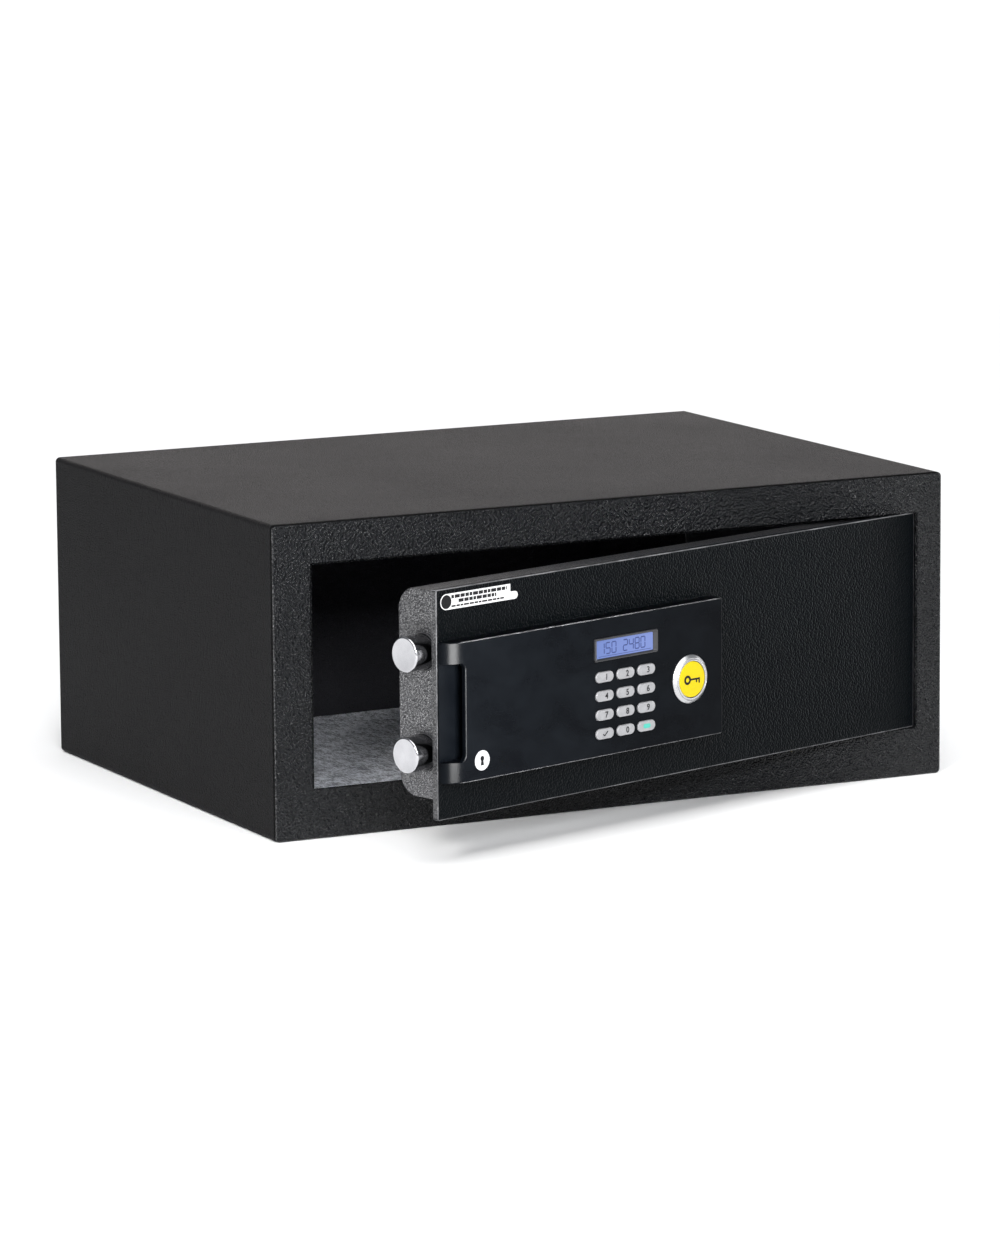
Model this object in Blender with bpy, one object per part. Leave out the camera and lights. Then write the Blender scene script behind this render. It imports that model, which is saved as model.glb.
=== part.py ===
# In-room laptop safe: a folded sheet-steel cabinet, a hinged door that carries
# a moulded control panel, two motor-driven bolts and a key override.
# Metres, +Z up. X runs along the front, the front faces -Y, and the origin is
# the centre of the base footprint.
import math

import bmesh
import bpy
from mathutils import Matrix, Vector

MM = 0.001

# ---------------------------------------------------------------- cabinet
WIDTH, DEPTH, HEIGHT = 0.480, 0.350, 0.200
SHEET = 2.0 * MM              # folded body and back panel
FRONT_SHEET = 3.0 * MM        # front frame
EDGE_R = 3.0 * MM             # outside radius of the folded body
SEAM = 0.3 * MM               # gap kept between pieces that touch
OPEN_X = (-0.2145, 0.2220)    # doorway in the front frame
OPEN_Z = (0.0315, 0.1745)
MAT_T = 6.7 * MM              # foam-backed felt floor mat
ANCHOR_R = 5.0 * MM           # anchor holes, 10 mm across
BASE_HOLES = ((-0.150, 0.020), (0.150, 0.020))
BACK_HOLES = ((-0.150, 0.070), (0.150, 0.070))

# ------------------------------------------------------------------- door
PIVOT = (0.210, -0.166)       # vertical hinge axis, x and y
DOOR_ANGLE = 17.8             # degrees open as modelled
PLATE_X = (-0.4235, 0.0090)   # door coordinates: x from the hinge axis
PLATE_Y = (-0.0090, -0.0045)
PLATE_Z = (0.0321, 0.1741)
PAN_X = (-0.4175, -0.0120)
PAN_Y = (-0.0042, 0.0310)
PAN_Z = (0.0431, 0.1721)
PAN_R = 14.0 * MM
PAN_SHEET = 1.5 * MM
PIN_R = 3.5 * MM

# ------------------------------------------------------------------ bolts
BOLT_R = 11.0 * MM
BOLT_Y = 8.4 * MM
BOLT_Z = (0.0719, 0.1339)
BOLT_X = (-0.4342, -0.3840)
BOLT_TRAVEL = 15.0 * MM
GEAR_MODULE = 1.5 * MM
GEAR_TEETH = 10
GEAR_AT = (-0.3300, 0.1110)   # x and z of the pinion axis
GEAR_Y = (0.0218, 0.0262)

# ---------------------------------------------------------- control panel
FASCIA_X = (-0.4231, -0.1830)
FASCIA_Z = (0.0551, 0.1421)
FASCIA_T = 10.0 * MM          # stands this far off the door plate
NOSE = 14.0 * MM              # length of the rounded grip end
RECESS_Z = (0.0681, 0.1289)
RECESS_X = -0.4091            # right edge of the finger opening
KEY_X = (-0.28960, -0.27115, -0.25270)
KEY_Z = (0.1050, 0.0931, 0.0812, 0.0693)
KEY_L, KEY_H = 15.4 * MM, 6.7 * MM
KEY_TRAVEL = 0.8 * MM
LCD_X = (-0.29540, -0.24530)
LCD_Z = (0.11640, 0.12790)
BEZEL_X = (-0.29850, -0.24230)
BEZEL_Z = (0.11500, 0.12960)
LOCK_AT = (-0.2136, 0.0939)   # x and z of the key override
RING_R, CAP_R = 15.5 * MM, 11.45 * MM

# ---------------------------------------------------------------- battery
CELL_R, CELL_L = 7.2 * MM, 50.5 * MM
BAY_X = (-0.1120, -0.0460)
BAY_Z = (0.0775, 0.1325)


# ------------------------------------------------------------ start clean
for old in list(bpy.data.objects):
    bpy.data.objects.remove(old, do_unlink=True)
for store in (bpy.data.meshes, bpy.data.materials, bpy.data.curves):
    for block in list(store):
        store.remove(block)
scene = bpy.context.scene
FACE_Y = PLATE_Y[0] - FASCIA_T


# --------------------------------------------------------------- helpers
def material(name, colour, rough, metal=0.0):
    m = bpy.data.materials.new(name)
    m.use_nodes = True
    b = m.node_tree.nodes["Principled BSDF"]
    b.inputs["Base Color"].default_value = (*colour, 1.0)
    b.inputs["Roughness"].default_value = rough
    b.inputs["Metallic"].default_value = metal
    m.diffuse_color = (*colour, 1.0)
    return m


def empty(name, at, parent=None, turn=0.0):
    e = bpy.data.objects.new(name, None)
    scene.collection.objects.link(e)
    e.parent = parent
    e.location = at
    e.rotation_euler = (0.0, 0.0, math.radians(turn))
    return e


def mesh_of(verts, faces):
    bm = bmesh.new()
    vs = [bm.verts.new(v) for v in verts]
    for f in faces:
        bm.faces.new([vs[i] for i in f])
    bmesh.ops.recalc_face_normals(bm, faces=bm.faces)
    me = bpy.data.meshes.new("shape")
    bm.to_mesh(me)
    bm.free()
    return me


def loft(loops, ring=False):
    """Skin through loops of equal length; capped, or joined end to end."""
    n = len(loops[0])
    verts = [tuple(p) for lp in loops for p in lp]
    faces = []
    count = len(loops)
    for i in range(count if ring else count - 1):
        a, b = i * n, ((i + 1) % count) * n
        for k in range(n):
            j = (k + 1) % n
            faces.append((a + k, a + j, b + j, b + k))
    if not ring:
        faces.append(tuple(range(n)))
        faces.append(tuple(range((count - 1) * n, count * n)))
    return mesh_of(verts, faces)


def place(axis, p, q, t):
    """Point with plane coordinates p, q at t along the axis."""
    return {"x": (t, p, q), "y": (p, t, q), "z": (p, q, t)}[axis]


def prism(outline, axis, lo, hi):
    return loft([[place(axis, p, q, t) for p, q in outline] for t in (lo, hi)])


def rect(p0, p1, q0, q1, r=0.0, seg=4):
    """Rectangle outline with rounded corners, counter-clockwise."""
    if r <= 0.0:
        return [(p0, q0), (p1, q0), (p1, q1), (p0, q1)]
    pts = []
    for cx, cy, a0 in ((p1 - r, q0 + r, -90), (p1 - r, q1 - r, 0),
                       (p0 + r, q1 - r, 90), (p0 + r, q0 + r, 180)):
        for i in range(seg + 1):
            a = math.radians(a0 + 90.0 * i / seg)
            pts.append((cx + r * math.cos(a), cy + r * math.sin(a)))
    return pts


def circle(c, r, n):
    return [(c[0] + r * math.cos(2 * math.pi * (i + 0.5) / n),
             c[1] + r * math.sin(2 * math.pi * (i + 0.5) / n)) for i in range(n)]


def turned(axis, c, profile, n, bore=False):
    """Body of revolution from (radius, position) pairs."""
    loops = [[place(axis, p, q, t) for p, q in circle(c, r, n)] for r, t in profile]
    return loft(loops, ring=bore)


def box(x, y, z):
    return prism(rect(x[0], x[1], y[0], y[1]), "z", z[0], z[1])


def combine(base, tools, how="DIFFERENCE"):
    """Boolean of a mesh with tool meshes, one after the other."""
    obj = bpy.data.objects.new("work", base)
    scene.collection.objects.link(obj)
    for t in tools:
        cut = bpy.data.objects.new("tool", t)
        scene.collection.objects.link(cut)
        mod = obj.modifiers.new("cut", "BOOLEAN")
        mod.operation = how
        mod.solver = "EXACT"
        mod.object = cut
        bpy.context.view_layer.update()
        deps = bpy.context.evaluated_depsgraph_get()
        done = bpy.data.meshes.new_from_object(obj.evaluated_get(deps))
        obj.modifiers.clear()
        obj.data = done
        bpy.data.objects.remove(cut, do_unlink=True)
    out = obj.data
    bpy.data.objects.remove(obj, do_unlink=True)
    bm = bmesh.new()
    bm.from_mesh(out)
    bmesh.ops.remove_doubles(bm, verts=bm.verts, dist=1e-6)
    bmesh.ops.dissolve_limit(bm, angle_limit=math.radians(0.5),
                             verts=bm.verts, edges=bm.edges)
    bmesh.ops.triangulate(bm, faces=bm.faces)
    bm.to_mesh(out)
    bm.free()
    return out


def node(name, me, mat, parent=None, origin=(0.0, 0.0, 0.0), smooth=False):
    me.name = name
    me.transform(Matrix.Translation(-Vector(origin)))
    me.materials.clear()
    me.materials.append(mat)
    obj = bpy.data.objects.new(name, me)
    scene.collection.objects.link(obj)
    obj.parent = parent
    obj.location = origin
    if smooth:
        me.shade_smooth()
        me.set_sharp_from_angle(angle=math.radians(35))
    return obj


# ------------------------------------------------------------- materials
powder = material("powder_black", (0.035, 0.035, 0.036), 0.55)
powder_door = material("powder_door", (0.022, 0.023, 0.025), 0.50)
powder_pan = material("powder_pan", (0.050, 0.050, 0.052), 0.45, 0.2)
zinc = material("zinc_steel", (0.52, 0.53, 0.54), 0.38, 0.9)
dark_steel = material("dark_steel", (0.10, 0.10, 0.11), 0.40, 0.8)
chrome = material("chromed_steel", (0.78, 0.78, 0.80), 0.16, 1.0)
brass = material("brass", (0.70, 0.52, 0.22), 0.30, 1.0)
felt = material("grey_felt", (0.16, 0.18, 0.22), 0.95)
black_abs = material("black_abs", (0.015, 0.015, 0.016), 0.30)
grey_abs = material("grey_abs", (0.10, 0.10, 0.105), 0.35)
nylon = material("nylon_black", (0.02, 0.02, 0.021), 0.45)
key_grey = material("key_grey", (0.52, 0.52, 0.53), 0.40)
lcd_blue = material("lcd_blue", (0.22, 0.31, 0.78), 0.12)
module_white = material("module_white", (0.55, 0.56, 0.55), 0.50)
silicone = material("silicone_grey", (0.30, 0.30, 0.31), 0.70)
board_green = material("board_green", (0.02, 0.14, 0.06), 0.45)
satin = material("satin_ring", (0.66, 0.66, 0.67), 0.28, 0.9)
yellow = material("cap_yellow", (0.93, 0.80, 0.02), 0.35)
motor_grey = material("motor_grey", (0.40, 0.40, 0.41), 0.40, 0.7)
acetal = material("acetal_white", (0.72, 0.71, 0.68), 0.50)
cell_dark = material("cell_jacket", (0.06, 0.06, 0.07), 0.35, 0.3)
red = material("button_red", (0.60, 0.03, 0.03), 0.40)
paper = material("label_white", (0.85, 0.85, 0.84), 0.50)

# --------------------------------------------------------------- cabinet
W2, D2 = WIDTH / 2, DEPTH / 2
front_back = -D2 + FRONT_SHEET            # rear face of the front frame

outer = rect(-W2, W2, 0.0, HEIGHT, EDGE_R, 4)
inner = rect(-W2 + SHEET, W2 - SHEET, SHEET, HEIGHT - SHEET, EDGE_R - SHEET, 4)
y0, y1 = front_back + SEAM, D2
shell = loft([[place("y", p, q, t) for p, q in lp]
              for lp, t in ((outer, y0), (outer, y1), (inner, y1), (inner, y0))],
             ring=True)
shell = combine(shell, [turned("z", h, ((ANCHOR_R, -SHEET), (ANCHOR_R, 2 * SHEET)), 16)
                        for h in BASE_HOLES])
node("body_shell", shell, powder)

ch = 0.8 * MM
frame = loft([[place("y", p, q, t) for p, q in rect(-W2 + i, W2 - i, i, HEIGHT - i, EDGE_R - i, 4)]
              for i, t in ((0.0, front_back), (0.0, -D2 + ch), (ch * 0.35, -D2 + ch * 0.35),
                           (ch, -D2))])
frame = combine(frame, [prism(rect(OPEN_X[0], OPEN_X[1], OPEN_Z[0], OPEN_Z[1], 0.8 * MM, 2),
                              "y", -D2 - 0.01, front_back + 0.01)])
node("front_frame", frame, powder)

in_x, in_z0, in_z1 = W2 - SHEET - SEAM, SHEET + SEAM, HEIGHT - SHEET - SEAM
back = prism(rect(-in_x, in_x, in_z0, in_z1, EDGE_R - SHEET, 3), "y", D2 - SHEET, D2)
back = combine(back, [turned("y", h, ((ANCHOR_R, D2 - 0.01), (ANCHOR_R, D2 + 0.01)), 16)
                      for h in BACK_HOLES])
node("back_panel", back, powder)

mat_z = (SHEET + SEAM, SHEET + SEAM + MAT_T)
mat = prism(rect(-in_x + 1 * MM, in_x - 1 * MM, front_back + 1 * MM, D2 - 3.3 * MM, 2 * MM, 2), "z", *mat_z)
mat = combine(mat, [turned("z", h, ((8.0 * MM, 0.0), (8.0 * MM, 0.02)), 16) for h in BASE_HOLES])
node("floor_mat", mat, felt)

# door stops: a lip stands behind the left and upper edge of the doorway
px, py = PIVOT
lip_y = (py + PLATE_Y[1] + SEAM, py + PLATE_Y[1] + 1.5 * MM)
lx0, lx1 = -in_x, OPEN_X[0]
stop_l = [(lx0, front_back + SEAM), (lx1 - 0.4 * MM, front_back + SEAM), (lx1 - 0.4 * MM, lip_y[0]),
          (lx1 + 3.3 * MM, lip_y[0]), (lx1 + 3.3 * MM, lip_y[1]), (lx0, lip_y[1])]
node("stop_strip_left", prism(stop_l, "z", OPEN_Z[0] - 8 * MM, OPEN_Z[1] + 6 * MM), powder)
tz = OPEN_Z[1]
stop_t = [(front_back + SEAM, tz + 0.4 * MM), (lip_y[0], tz + 0.4 * MM), (lip_y[0], tz - 1.8 * MM),
          (lip_y[1], tz - 1.8 * MM), (lip_y[1], tz + 12 * MM), (front_back + SEAM, tz + 12 * MM)]
node("stop_strip_top", prism(stop_t, "x", OPEN_X[0] + 3.8 * MM, 0.150), powder)

# hinge brackets behind the frame with flanged bushes
hole = lambda r, n=16: r / math.cos(math.pi / n)
for tag, bz, fz, sz in (("top", (0.1768, 0.1818), (0.1745, 0.1766), (0.1766, 0.1822)),
                        ("bottom", (0.0245, 0.0295), (0.0297, 0.0317), (0.0241, 0.0297))):
    br = prism(rect(px - 14 * MM, px + 14 * MM, front_back + SEAM, py + 12 * MM, 1.5 * MM, 2), "z", *bz)
    br = combine(br, [turned("z", PIVOT, ((hole(4.8 * MM), bz[0] - 0.01), (hole(4.8 * MM), bz[1] + 0.01)), 16)])
    node("hinge_bracket_" + tag, br, powder)
    ri, ro, rf = hole(3.75 * MM), 4.6 * MM, 5.6 * MM
    if tag == "top":
        prof = ((ri, fz[0]), (rf, fz[0]), (rf, fz[1]), (ro, fz[1]), (ro, sz[1]), (ri, sz[1]))
    else:
        prof = ((ri, sz[0]), (ro, sz[0]), (ro, fz[0]), (rf, fz[0]), (rf, fz[1]), (ri, fz[1]))
    node("hinge_bush_" + tag, turned("z", PIVOT, prof, 16, bore=True), brass, smooth=True)

# ------------------------------------------------------------------ door
door = empty("door_axis", (px, py, 0.0), turn=DOOR_ANGLE)

c = 0.5 * MM
plate = loft([[place("y", p, q, t) for p, q in
               rect(PLATE_X[0] + i, PLATE_X[1] - i, PLATE_Z[0] + i, PLATE_Z[1] - i, 1.0 * MM, 2)]
              for i, t in ((0.0, PLATE_Y[1]), (0.0, PLATE_Y[0] + c), (c, PLATE_Y[0]))])
STUDS = ((-0.352, 0.150), (-0.352, 0.065), (-0.030, 0.150), (-0.030, 0.065))
stud_end = PAN_Y[1] - PAN_SHEET - SEAM
plate = combine(plate, [turned("y", s, ((3.5 * MM, PLATE_Y[1] - 1 * MM), (3.5 * MM, stud_end)), 12)
                        for s in STUDS], "UNION")
plate = combine(plate, [turned("y", s, ((2.3 * MM, stud_end - 12 * MM), (2.3 * MM, stud_end + 1 * MM)), 12)
                        for s in STUDS]
                + [turned("y", LOCK_AT, ((9.9 * MM, -0.02), (9.9 * MM, 0.0)), 24),
                   turned("y", (-0.235, 0.0700), ((5.0 * MM, -0.02), (5.0 * MM, 0.0)), 12)])
node("door_plate", plate, powder_door, door)


def pan_profile(d, y_front):
    r = PAN_R - d
    ya, z0, z1 = PAN_Y[1] - d, PAN_Z[0] + d, PAN_Z[1] - d
    pts = [(y_front, z0)]
    for i in range(7):
        a = math.radians(-90 + 15 * i)
        pts.append((ya - r + r * math.cos(a), z0 + r + r * math.sin(a)))
    for i in range(7):
        a = math.radians(15 * i)
        pts.append((ya - r + r * math.cos(a), z1 - r + r * math.sin(a)))
    pts.append((y_front, z1))
    return pts


pan = prism(pan_profile(0.0, PAN_Y[0]), "x", *PAN_X)
cuts = [prism(pan_profile(PAN_SHEET, PAN_Y[0] - 0.01), "x", PAN_X[0] + PAN_SHEET, PAN_X[1] - PAN_SHEET)]
cuts += [turned("x", (BOLT_Y, z), ((12.15 * MM, PAN_X[0] - 0.01), (12.15 * MM, PAN_X[0] + 0.01)), 24)
         for z in BOLT_Z]
cuts += [turned("y", s, ((2.3 * MM, PAN_Y[1] - 0.005), (2.3 * MM, PAN_Y[1] + 0.005)), 12) for s in STUDS]
cuts.append(prism(rect(*BAY_X, *BAY_Z, 2 * MM, 2), "y", PAN_Y[1] - 0.005, PAN_Y[1] + 0.005))
RESET_AT = (-0.150, 0.105)
cuts.append(turned("y", RESET_AT, ((4.3 * MM, PAN_Y[1] - 0.005), (4.3 * MM, PAN_Y[1] + 0.005)), 16))
node("door_pan", combine(pan, cuts), powder_pan, door)

for tag, z in (("top", (0.1480, 0.1738)), ("bottom", (0.0324, 0.0582))):
    blk = prism(rect(-9.0 * MM, 6.5 * MM, PLATE_Y[1] + SEAM, 6.5 * MM, 1.0 * MM, 2), "z", *z)
    blk = combine(blk, [turned("z", (0, 0), ((hole(3.7 * MM), z[0] - 0.01), (hole(3.7 * MM), z[1] + 0.01)), 16)])
    node("hinge_block_" + tag, blk, dark_steel, door)
for tag, z in (("top", (0.1485, 0.1860)), ("bottom", (0.0203, 0.0577))):
    node("hinge_pin_" + tag, turned("z", (0, 0), ((PIN_R - 0.6 * MM, z[0]), (PIN_R, z[0] + 0.6 * MM),
                                                  (PIN_R, z[1] - 0.6 * MM), (PIN_R - 0.6 * MM, z[1])), 16),
         zinc, door, smooth=True)

# ----------------------------------------------------------------- bolts
carriage = empty("bolt_axis", (BOLT_X[0], BOLT_Y, sum(BOLT_Z) / 2), door)
for tag, z in (("lower", BOLT_Z[0]), ("upper", BOLT_Z[1])):
    me = turned("x", (BOLT_Y, z), ((BOLT_R - 1.0 * MM, BOLT_X[0]), (BOLT_R, BOLT_X[0] + 1.0 * MM),
                                   (BOLT_R, BOLT_X[1])), 32)
    node("bolt_" + tag, me, chrome, door, (BOLT_X[0], BOLT_Y, z), smooth=True)
    bush = turned("x", (BOLT_Y, z), ((11.3 * MM, PAN_X[0] - 1.0 * MM), (12.0 * MM, PAN_X[0] - 1.0 * MM),
                                     (12.0 * MM, PAN_X[0] + 7.0 * MM), (11.3 * MM, PAN_X[0] + 7.0 * MM)),
                  24, bore=True)
    node("bolt_bush_" + tag, bush, nylon, door, (PAN_X[0], BOLT_Y, z), smooth=True)

PITCH = math.pi * GEAR_MODULE
PITCH_R = GEAR_MODULE * GEAR_TEETH / 2
ADD, DED, PRESS, BACKLASH = 0.8 * GEAR_MODULE, 1.15 * GEAR_MODULE, math.radians(25), 0.40 * MM
half = (PITCH / 2 - BACKLASH) / 2          # half tooth thickness on the pitch line
rack_z = GEAR_AT[1] - PITCH_R              # pitch line of the rack
rack_top, rack_root = rack_z + ADD, rack_z - DED
bar_x = (BOLT_X[1] + SEAM, BOLT_X[1] + SEAM + 4 * MM)
outline = [(bar_x[1] - 1 * MM, rack_root - 6 * MM), (-0.300, rack_root - 6 * MM), (-0.300, rack_root)]
k = 6
while k > -6:
    xc = GEAR_AT[0] + (k - 0.5) * PITCH
    if -0.372 < xc < -0.303:
        wide, thin = half + DED * math.tan(PRESS), half - ADD * math.tan(PRESS)
        outline += [(xc + wide, rack_root), (xc + thin, rack_top), (xc - thin, rack_top), (xc - wide, rack_root)]
    k -= 1
outline += [(bar_x[1] - 1 * MM, rack_root)]
arm = prism(outline, "y", *GEAR_Y)
bar = prism(rect(-0.0022, GEAR_Y[1], 0.0600, 0.1460, 3 * MM, 3), "x", *bar_x)
bar = combine(bar, [arm], "UNION")
node("bolt_bar", bar, zinc, door, (BOLT_X[0], BOLT_Y, sum(BOLT_Z) / 2))

# pinion: involute teeth, one tooth pointing straight down at the rack
base_r = PITCH_R * math.cos(PRESS)
root_r, tip_r = PITCH_R - DED, PITCH_R + ADD
inv = lambda r: math.sqrt(max((r / base_r) ** 2 - 1, 0.0)) - math.atan(math.sqrt(max((r / base_r) ** 2 - 1, 0.0)))
inv_p = inv(PITCH_R)
teeth = []
for i in range(GEAR_TEETH):
    mid = -math.pi / 2 + 2 * math.pi * i / GEAR_TEETH
    flank = []
    for r in (root_r, base_r, PITCH_R, (PITCH_R + tip_r) / 2, tip_r):
        a = half / PITCH_R + inv_p - inv(max(r, base_r))
        flank.append((r, a))
    for r, a in flank:
        teeth.append((r, mid - a))
    for r, a in reversed(flank):
        teeth.append((r, mid + a))
gear = prism([(GEAR_AT[0] + r * math.cos(a), GEAR_AT[1] + r * math.sin(a)) for r, a in teeth], "y", *GEAR_Y)
gear = combine(gear, [turned("y", GEAR_AT, ((1.5 * MM, GEAR_Y[0] - 5 * MM), (1.5 * MM, GEAR_Y[0] + 1 * MM)), 12)], "UNION")
node("drive_pinion", gear, acetal, door, (GEAR_AT[0], sum(GEAR_Y) / 2, GEAR_AT[1]))

mx, mz = GEAR_AT
motor = prism(rect(mx - 12 * MM, mx + 12 * MM, mz - 10 * MM, mz + 10 * MM, 2 * MM, 2), "y", 8 * MM, 20.3 * MM)
motor = combine(motor, [turned("y", GEAR_AT, ((9.5 * MM, PLATE_Y[1] + SEAM), (9.5 * MM, 10 * MM)), 20)], "UNION")
motor = combine(motor, [turned("y", GEAR_AT, ((2.0 * MM, 16.2 * MM), (2.0 * MM, 21 * MM)), 12)])
node("drive_motor", motor, motor_grey, door)

# --------------------------------------------------------- control panel
def fascia_profile(d):
    """Outline in door x and y; d pulls the ends in for the edge rounding."""
    pts = [(FASCIA_X[0] + d, PLATE_Y[0] - 0.2 * MM)]
    b = FASCIA_T - d
    for i in range(1, 9):
        a = math.radians(11.25 * i)
        pts.append((FASCIA_X[0] + d + (NOSE - d) * (1 - math.cos(a)), PLATE_Y[0] - max(b * math.sin(a), 0.4 * MM)))
    r = 1.5 * MM
    for i in range(4):
        a = math.radians(30 * i)
        pts.append((FASCIA_X[1] - d - r + r * math.sin(a), FACE_Y + d + r - r * math.cos(a)))
    pts.append((FASCIA_X[1] - d, PLATE_Y[0] - 0.2 * MM))
    return pts


e = 0.9 * MM
body = loft([[place("z", p, q, t) for p, q in fascia_profile(d)]
             for d, t in ((e, FASCIA_Z[0]), (e * 0.3, FASCIA_Z[0] + e * 0.3), (0.0, FASCIA_Z[0] + e),
                          (0.0, FASCIA_Z[1] - e), (e * 0.3, FASCIA_Z[1] - e * 0.3), (e, FASCIA_Z[1]))])
wall = 2.3 * MM
inside_y = FACE_Y + wall


def stadium(cx, cz, length, height, seg=3):
    r = height / 2
    return rect(cx - length / 2, cx + length / 2, cz - r, cz + r, r - 1e-5, seg)


tools = [box((-0.392, FASCIA_X[1] - wall), (inside_y, PLATE_Y[0] + 0.01), (FASCIA_Z[0] + wall, FASCIA_Z[1] - wall))]
# finger opening, with a hollow that runs back behind its gripping edge
tools.append(prism(rect(FASCIA_X[0] - 0.02, RECESS_X, *RECESS_Z, 4.5 * MM, 4), "y", FACE_Y - 0.01, PLATE_Y[0] - 1.0 * MM))
tools.append(prism(rect(RECESS_X - 6 * MM, RECESS_X + 13 * MM, RECESS_Z[0] + 0.5 * MM, RECESS_Z[1] - 0.5 * MM, 4.0 * MM, 3),
                   "y", FACE_Y + 3.0 * MM, PLATE_Y[0] - 1.1 * MM))
KEYS = (("key_1", 0, 0), ("key_2", 1, 0), ("key_3", 2, 0), ("key_4", 0, 1), ("key_5", 1, 1), ("key_6", 2, 1),
        ("key_7", 0, 2), ("key_8", 1, 2), ("key_9", 2, 2), ("key_enter", 0, 3), ("key_0", 1, 3), ("key_clear", 2, 3))
for _, i, j in KEYS:
    tools.append(prism(stadium(KEY_X[i], KEY_Z[j], KEY_L + 0.5 * MM, KEY_H + 0.5 * MM), "y", FACE_Y - 0.01, inside_y + 0.001))
g = 0.2 * MM
tools.append(prism(rect(BEZEL_X[0] - g, BEZEL_X[1] + g, BEZEL_Z[0] - g, BEZEL_Z[1] + g, 1.2 * MM, 2), "y", FACE_Y - 0.01, inside_y + 0.001))
tools.append(turned("y", LOCK_AT, ((12.0 * MM, FACE_Y - 0.01), (12.0 * MM, inside_y + 0.001)), 32))
node("fascia", combine(body, tools), black_abs, door)

# window and its frame
bez = loft([[place("y", p, q, t) for p, q in lp] for lp, t in (
    (rect(*BEZEL_X, *BEZEL_Z, 1.2 * MM, 2), inside_y - 0.2 * MM),
    (rect(*BEZEL_X, *BEZEL_Z, 1.2 * MM, 2), FACE_Y - 0.3 * MM),
    (rect(BEZEL_X[0] + 0.4 * MM, BEZEL_X[1] - 0.4 * MM, BEZEL_Z[0] + 0.4 * MM, BEZEL_Z[1] - 0.4 * MM, 1.0 * MM, 2), FACE_Y - 0.7 * MM),
    (rect(LCD_X[0] - 0.7 * MM, LCD_X[1] + 0.7 * MM, LCD_Z[0] - 0.7 * MM, LCD_Z[1] + 0.7 * MM, 0.8 * MM, 2), FACE_Y - 0.7 * MM),
    (rect(*LCD_X, *LCD_Z, 0.6 * MM, 2), FACE_Y + 0.4 * MM),
    (rect(*LCD_X, *LCD_Z, 0.6 * MM, 2), inside_y - 0.2 * MM))], ring=True)
node("display_bezel", bez, grey_abs, door)
node("display_window", prism(rect(LCD_X[0] + g, LCD_X[1] - g, LCD_Z[0] + g, LCD_Z[1] - g, 0.5 * MM, 2),
                             "y", FACE_Y + 0.5 * MM, FACE_Y + 2.0 * MM), lcd_blue, door)
node("display_module", box((BEZEL_X[0] - 1 * MM, BEZEL_X[1] + 1 * MM), (inside_y + 0.3 * MM, -0.0136),
                           (BEZEL_Z[0] - 1 * MM, BEZEL_Z[1] + 2 * MM)), module_white, door)
node("keypad_membrane", prism(rect(-0.3000, -0.2424, 0.0620, 0.1122, 2 * MM, 2), "y", -0.0146, -0.0136), silicone, door)
board = prism(rect(-0.3040, -0.2380, 0.0600, 0.1340, 1 * MM, 2), "y", -0.0132, -0.0116)
node("circuit_board", board, board_green, door)

for name, i, j in KEYS:
    kx, kz = KEY_X[i], KEY_Z[j]
    me = loft([[place("y", p, q, t) for p, q in stadium(kx, kz, KEY_L + grow, KEY_H + grow)] for grow, t in (
        (1.8 * MM, inside_y + 1.0 * MM), (1.8 * MM, inside_y + 0.3 * MM), (0.0, inside_y + 0.3 * MM),
        (0.0, FACE_Y - 0.5 * MM), (-0.8 * MM, FACE_Y - 0.9 * MM))])
    node(name, me, key_grey, door, (kx, FACE_Y, kz), smooth=True)

# key override: ring, pull-off cap, cylinder, plug, nut and cam
lx, lz = LOCK_AT
ring = turned("y", LOCK_AT, ((11.8 * MM, FACE_Y - 0.2 * MM), (RING_R, FACE_Y - 0.2 * MM), (RING_R, FACE_Y - 0.7 * MM),
                             (12.9 * MM, FACE_Y - 2.6 * MM), (11.8 * MM, FACE_Y - 2.6 * MM)), 32, bore=True)
node("badge_ring", ring, satin, door, (lx, FACE_Y, lz), smooth=True)
cap = turned("y", LOCK_AT, ((CAP_R, FACE_Y + 0.4 * MM), (CAP_R, FACE_Y - 2.4 * MM), (CAP_R - 0.6 * MM, FACE_Y - 2.9 * MM)), 32)
node("override_cap", cap, yellow, door, (lx, FACE_Y, lz), smooth=True)
cyl = turned("y", LOCK_AT, ((hole(6.1 * MM), FACE_Y + 1.2 * MM), (9.5 * MM, FACE_Y + 1.2 * MM),
                            (9.5 * MM, 4.0 * MM), (hole(6.1 * MM), 4.0 * MM)), 24, bore=True)
node("lock_cylinder", cyl, brass, door, (lx, 0.0, lz), smooth=True)
plug = turned("y", LOCK_AT, ((5.8 * MM, FACE_Y + 1.0 * MM), (5.8 * MM, 4.3 * MM), (3.0 * MM, 4.3 * MM), (3.0 * MM, 9.5 * MM)), 20)
plug = combine(plug, [box((lx - 1.1 * MM, lx + 1.1 * MM), (FACE_Y - 0.01, FACE_Y + 14 * MM), (lz - 4.2 * MM, lz + 4.2 * MM))])
node("key_plug", plug, brass, door, (lx, 0.0, lz))
node("cylinder_nut", turned("y", LOCK_AT, ((9.8 * MM, PLATE_Y[1] + SEAM), (14.0 * MM, PLATE_Y[1] + SEAM),
                                           (14.0 * MM, 0.0), (9.8 * MM, 0.0)), 24, bore=True), zinc, door, (lx, 0.0, lz))
arm_pts = []
for i in range(9):
    a = math.radians(20 + 320 * i / 8)
    arm_pts.append((lx + 7 * MM * math.sin(a), lz + 7 * MM * math.cos(a)))
arm_pts += [(lx - 2.4 * MM, lz + 16 * MM), (lx + 2.4 * MM, lz + 16 * MM)]
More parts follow.
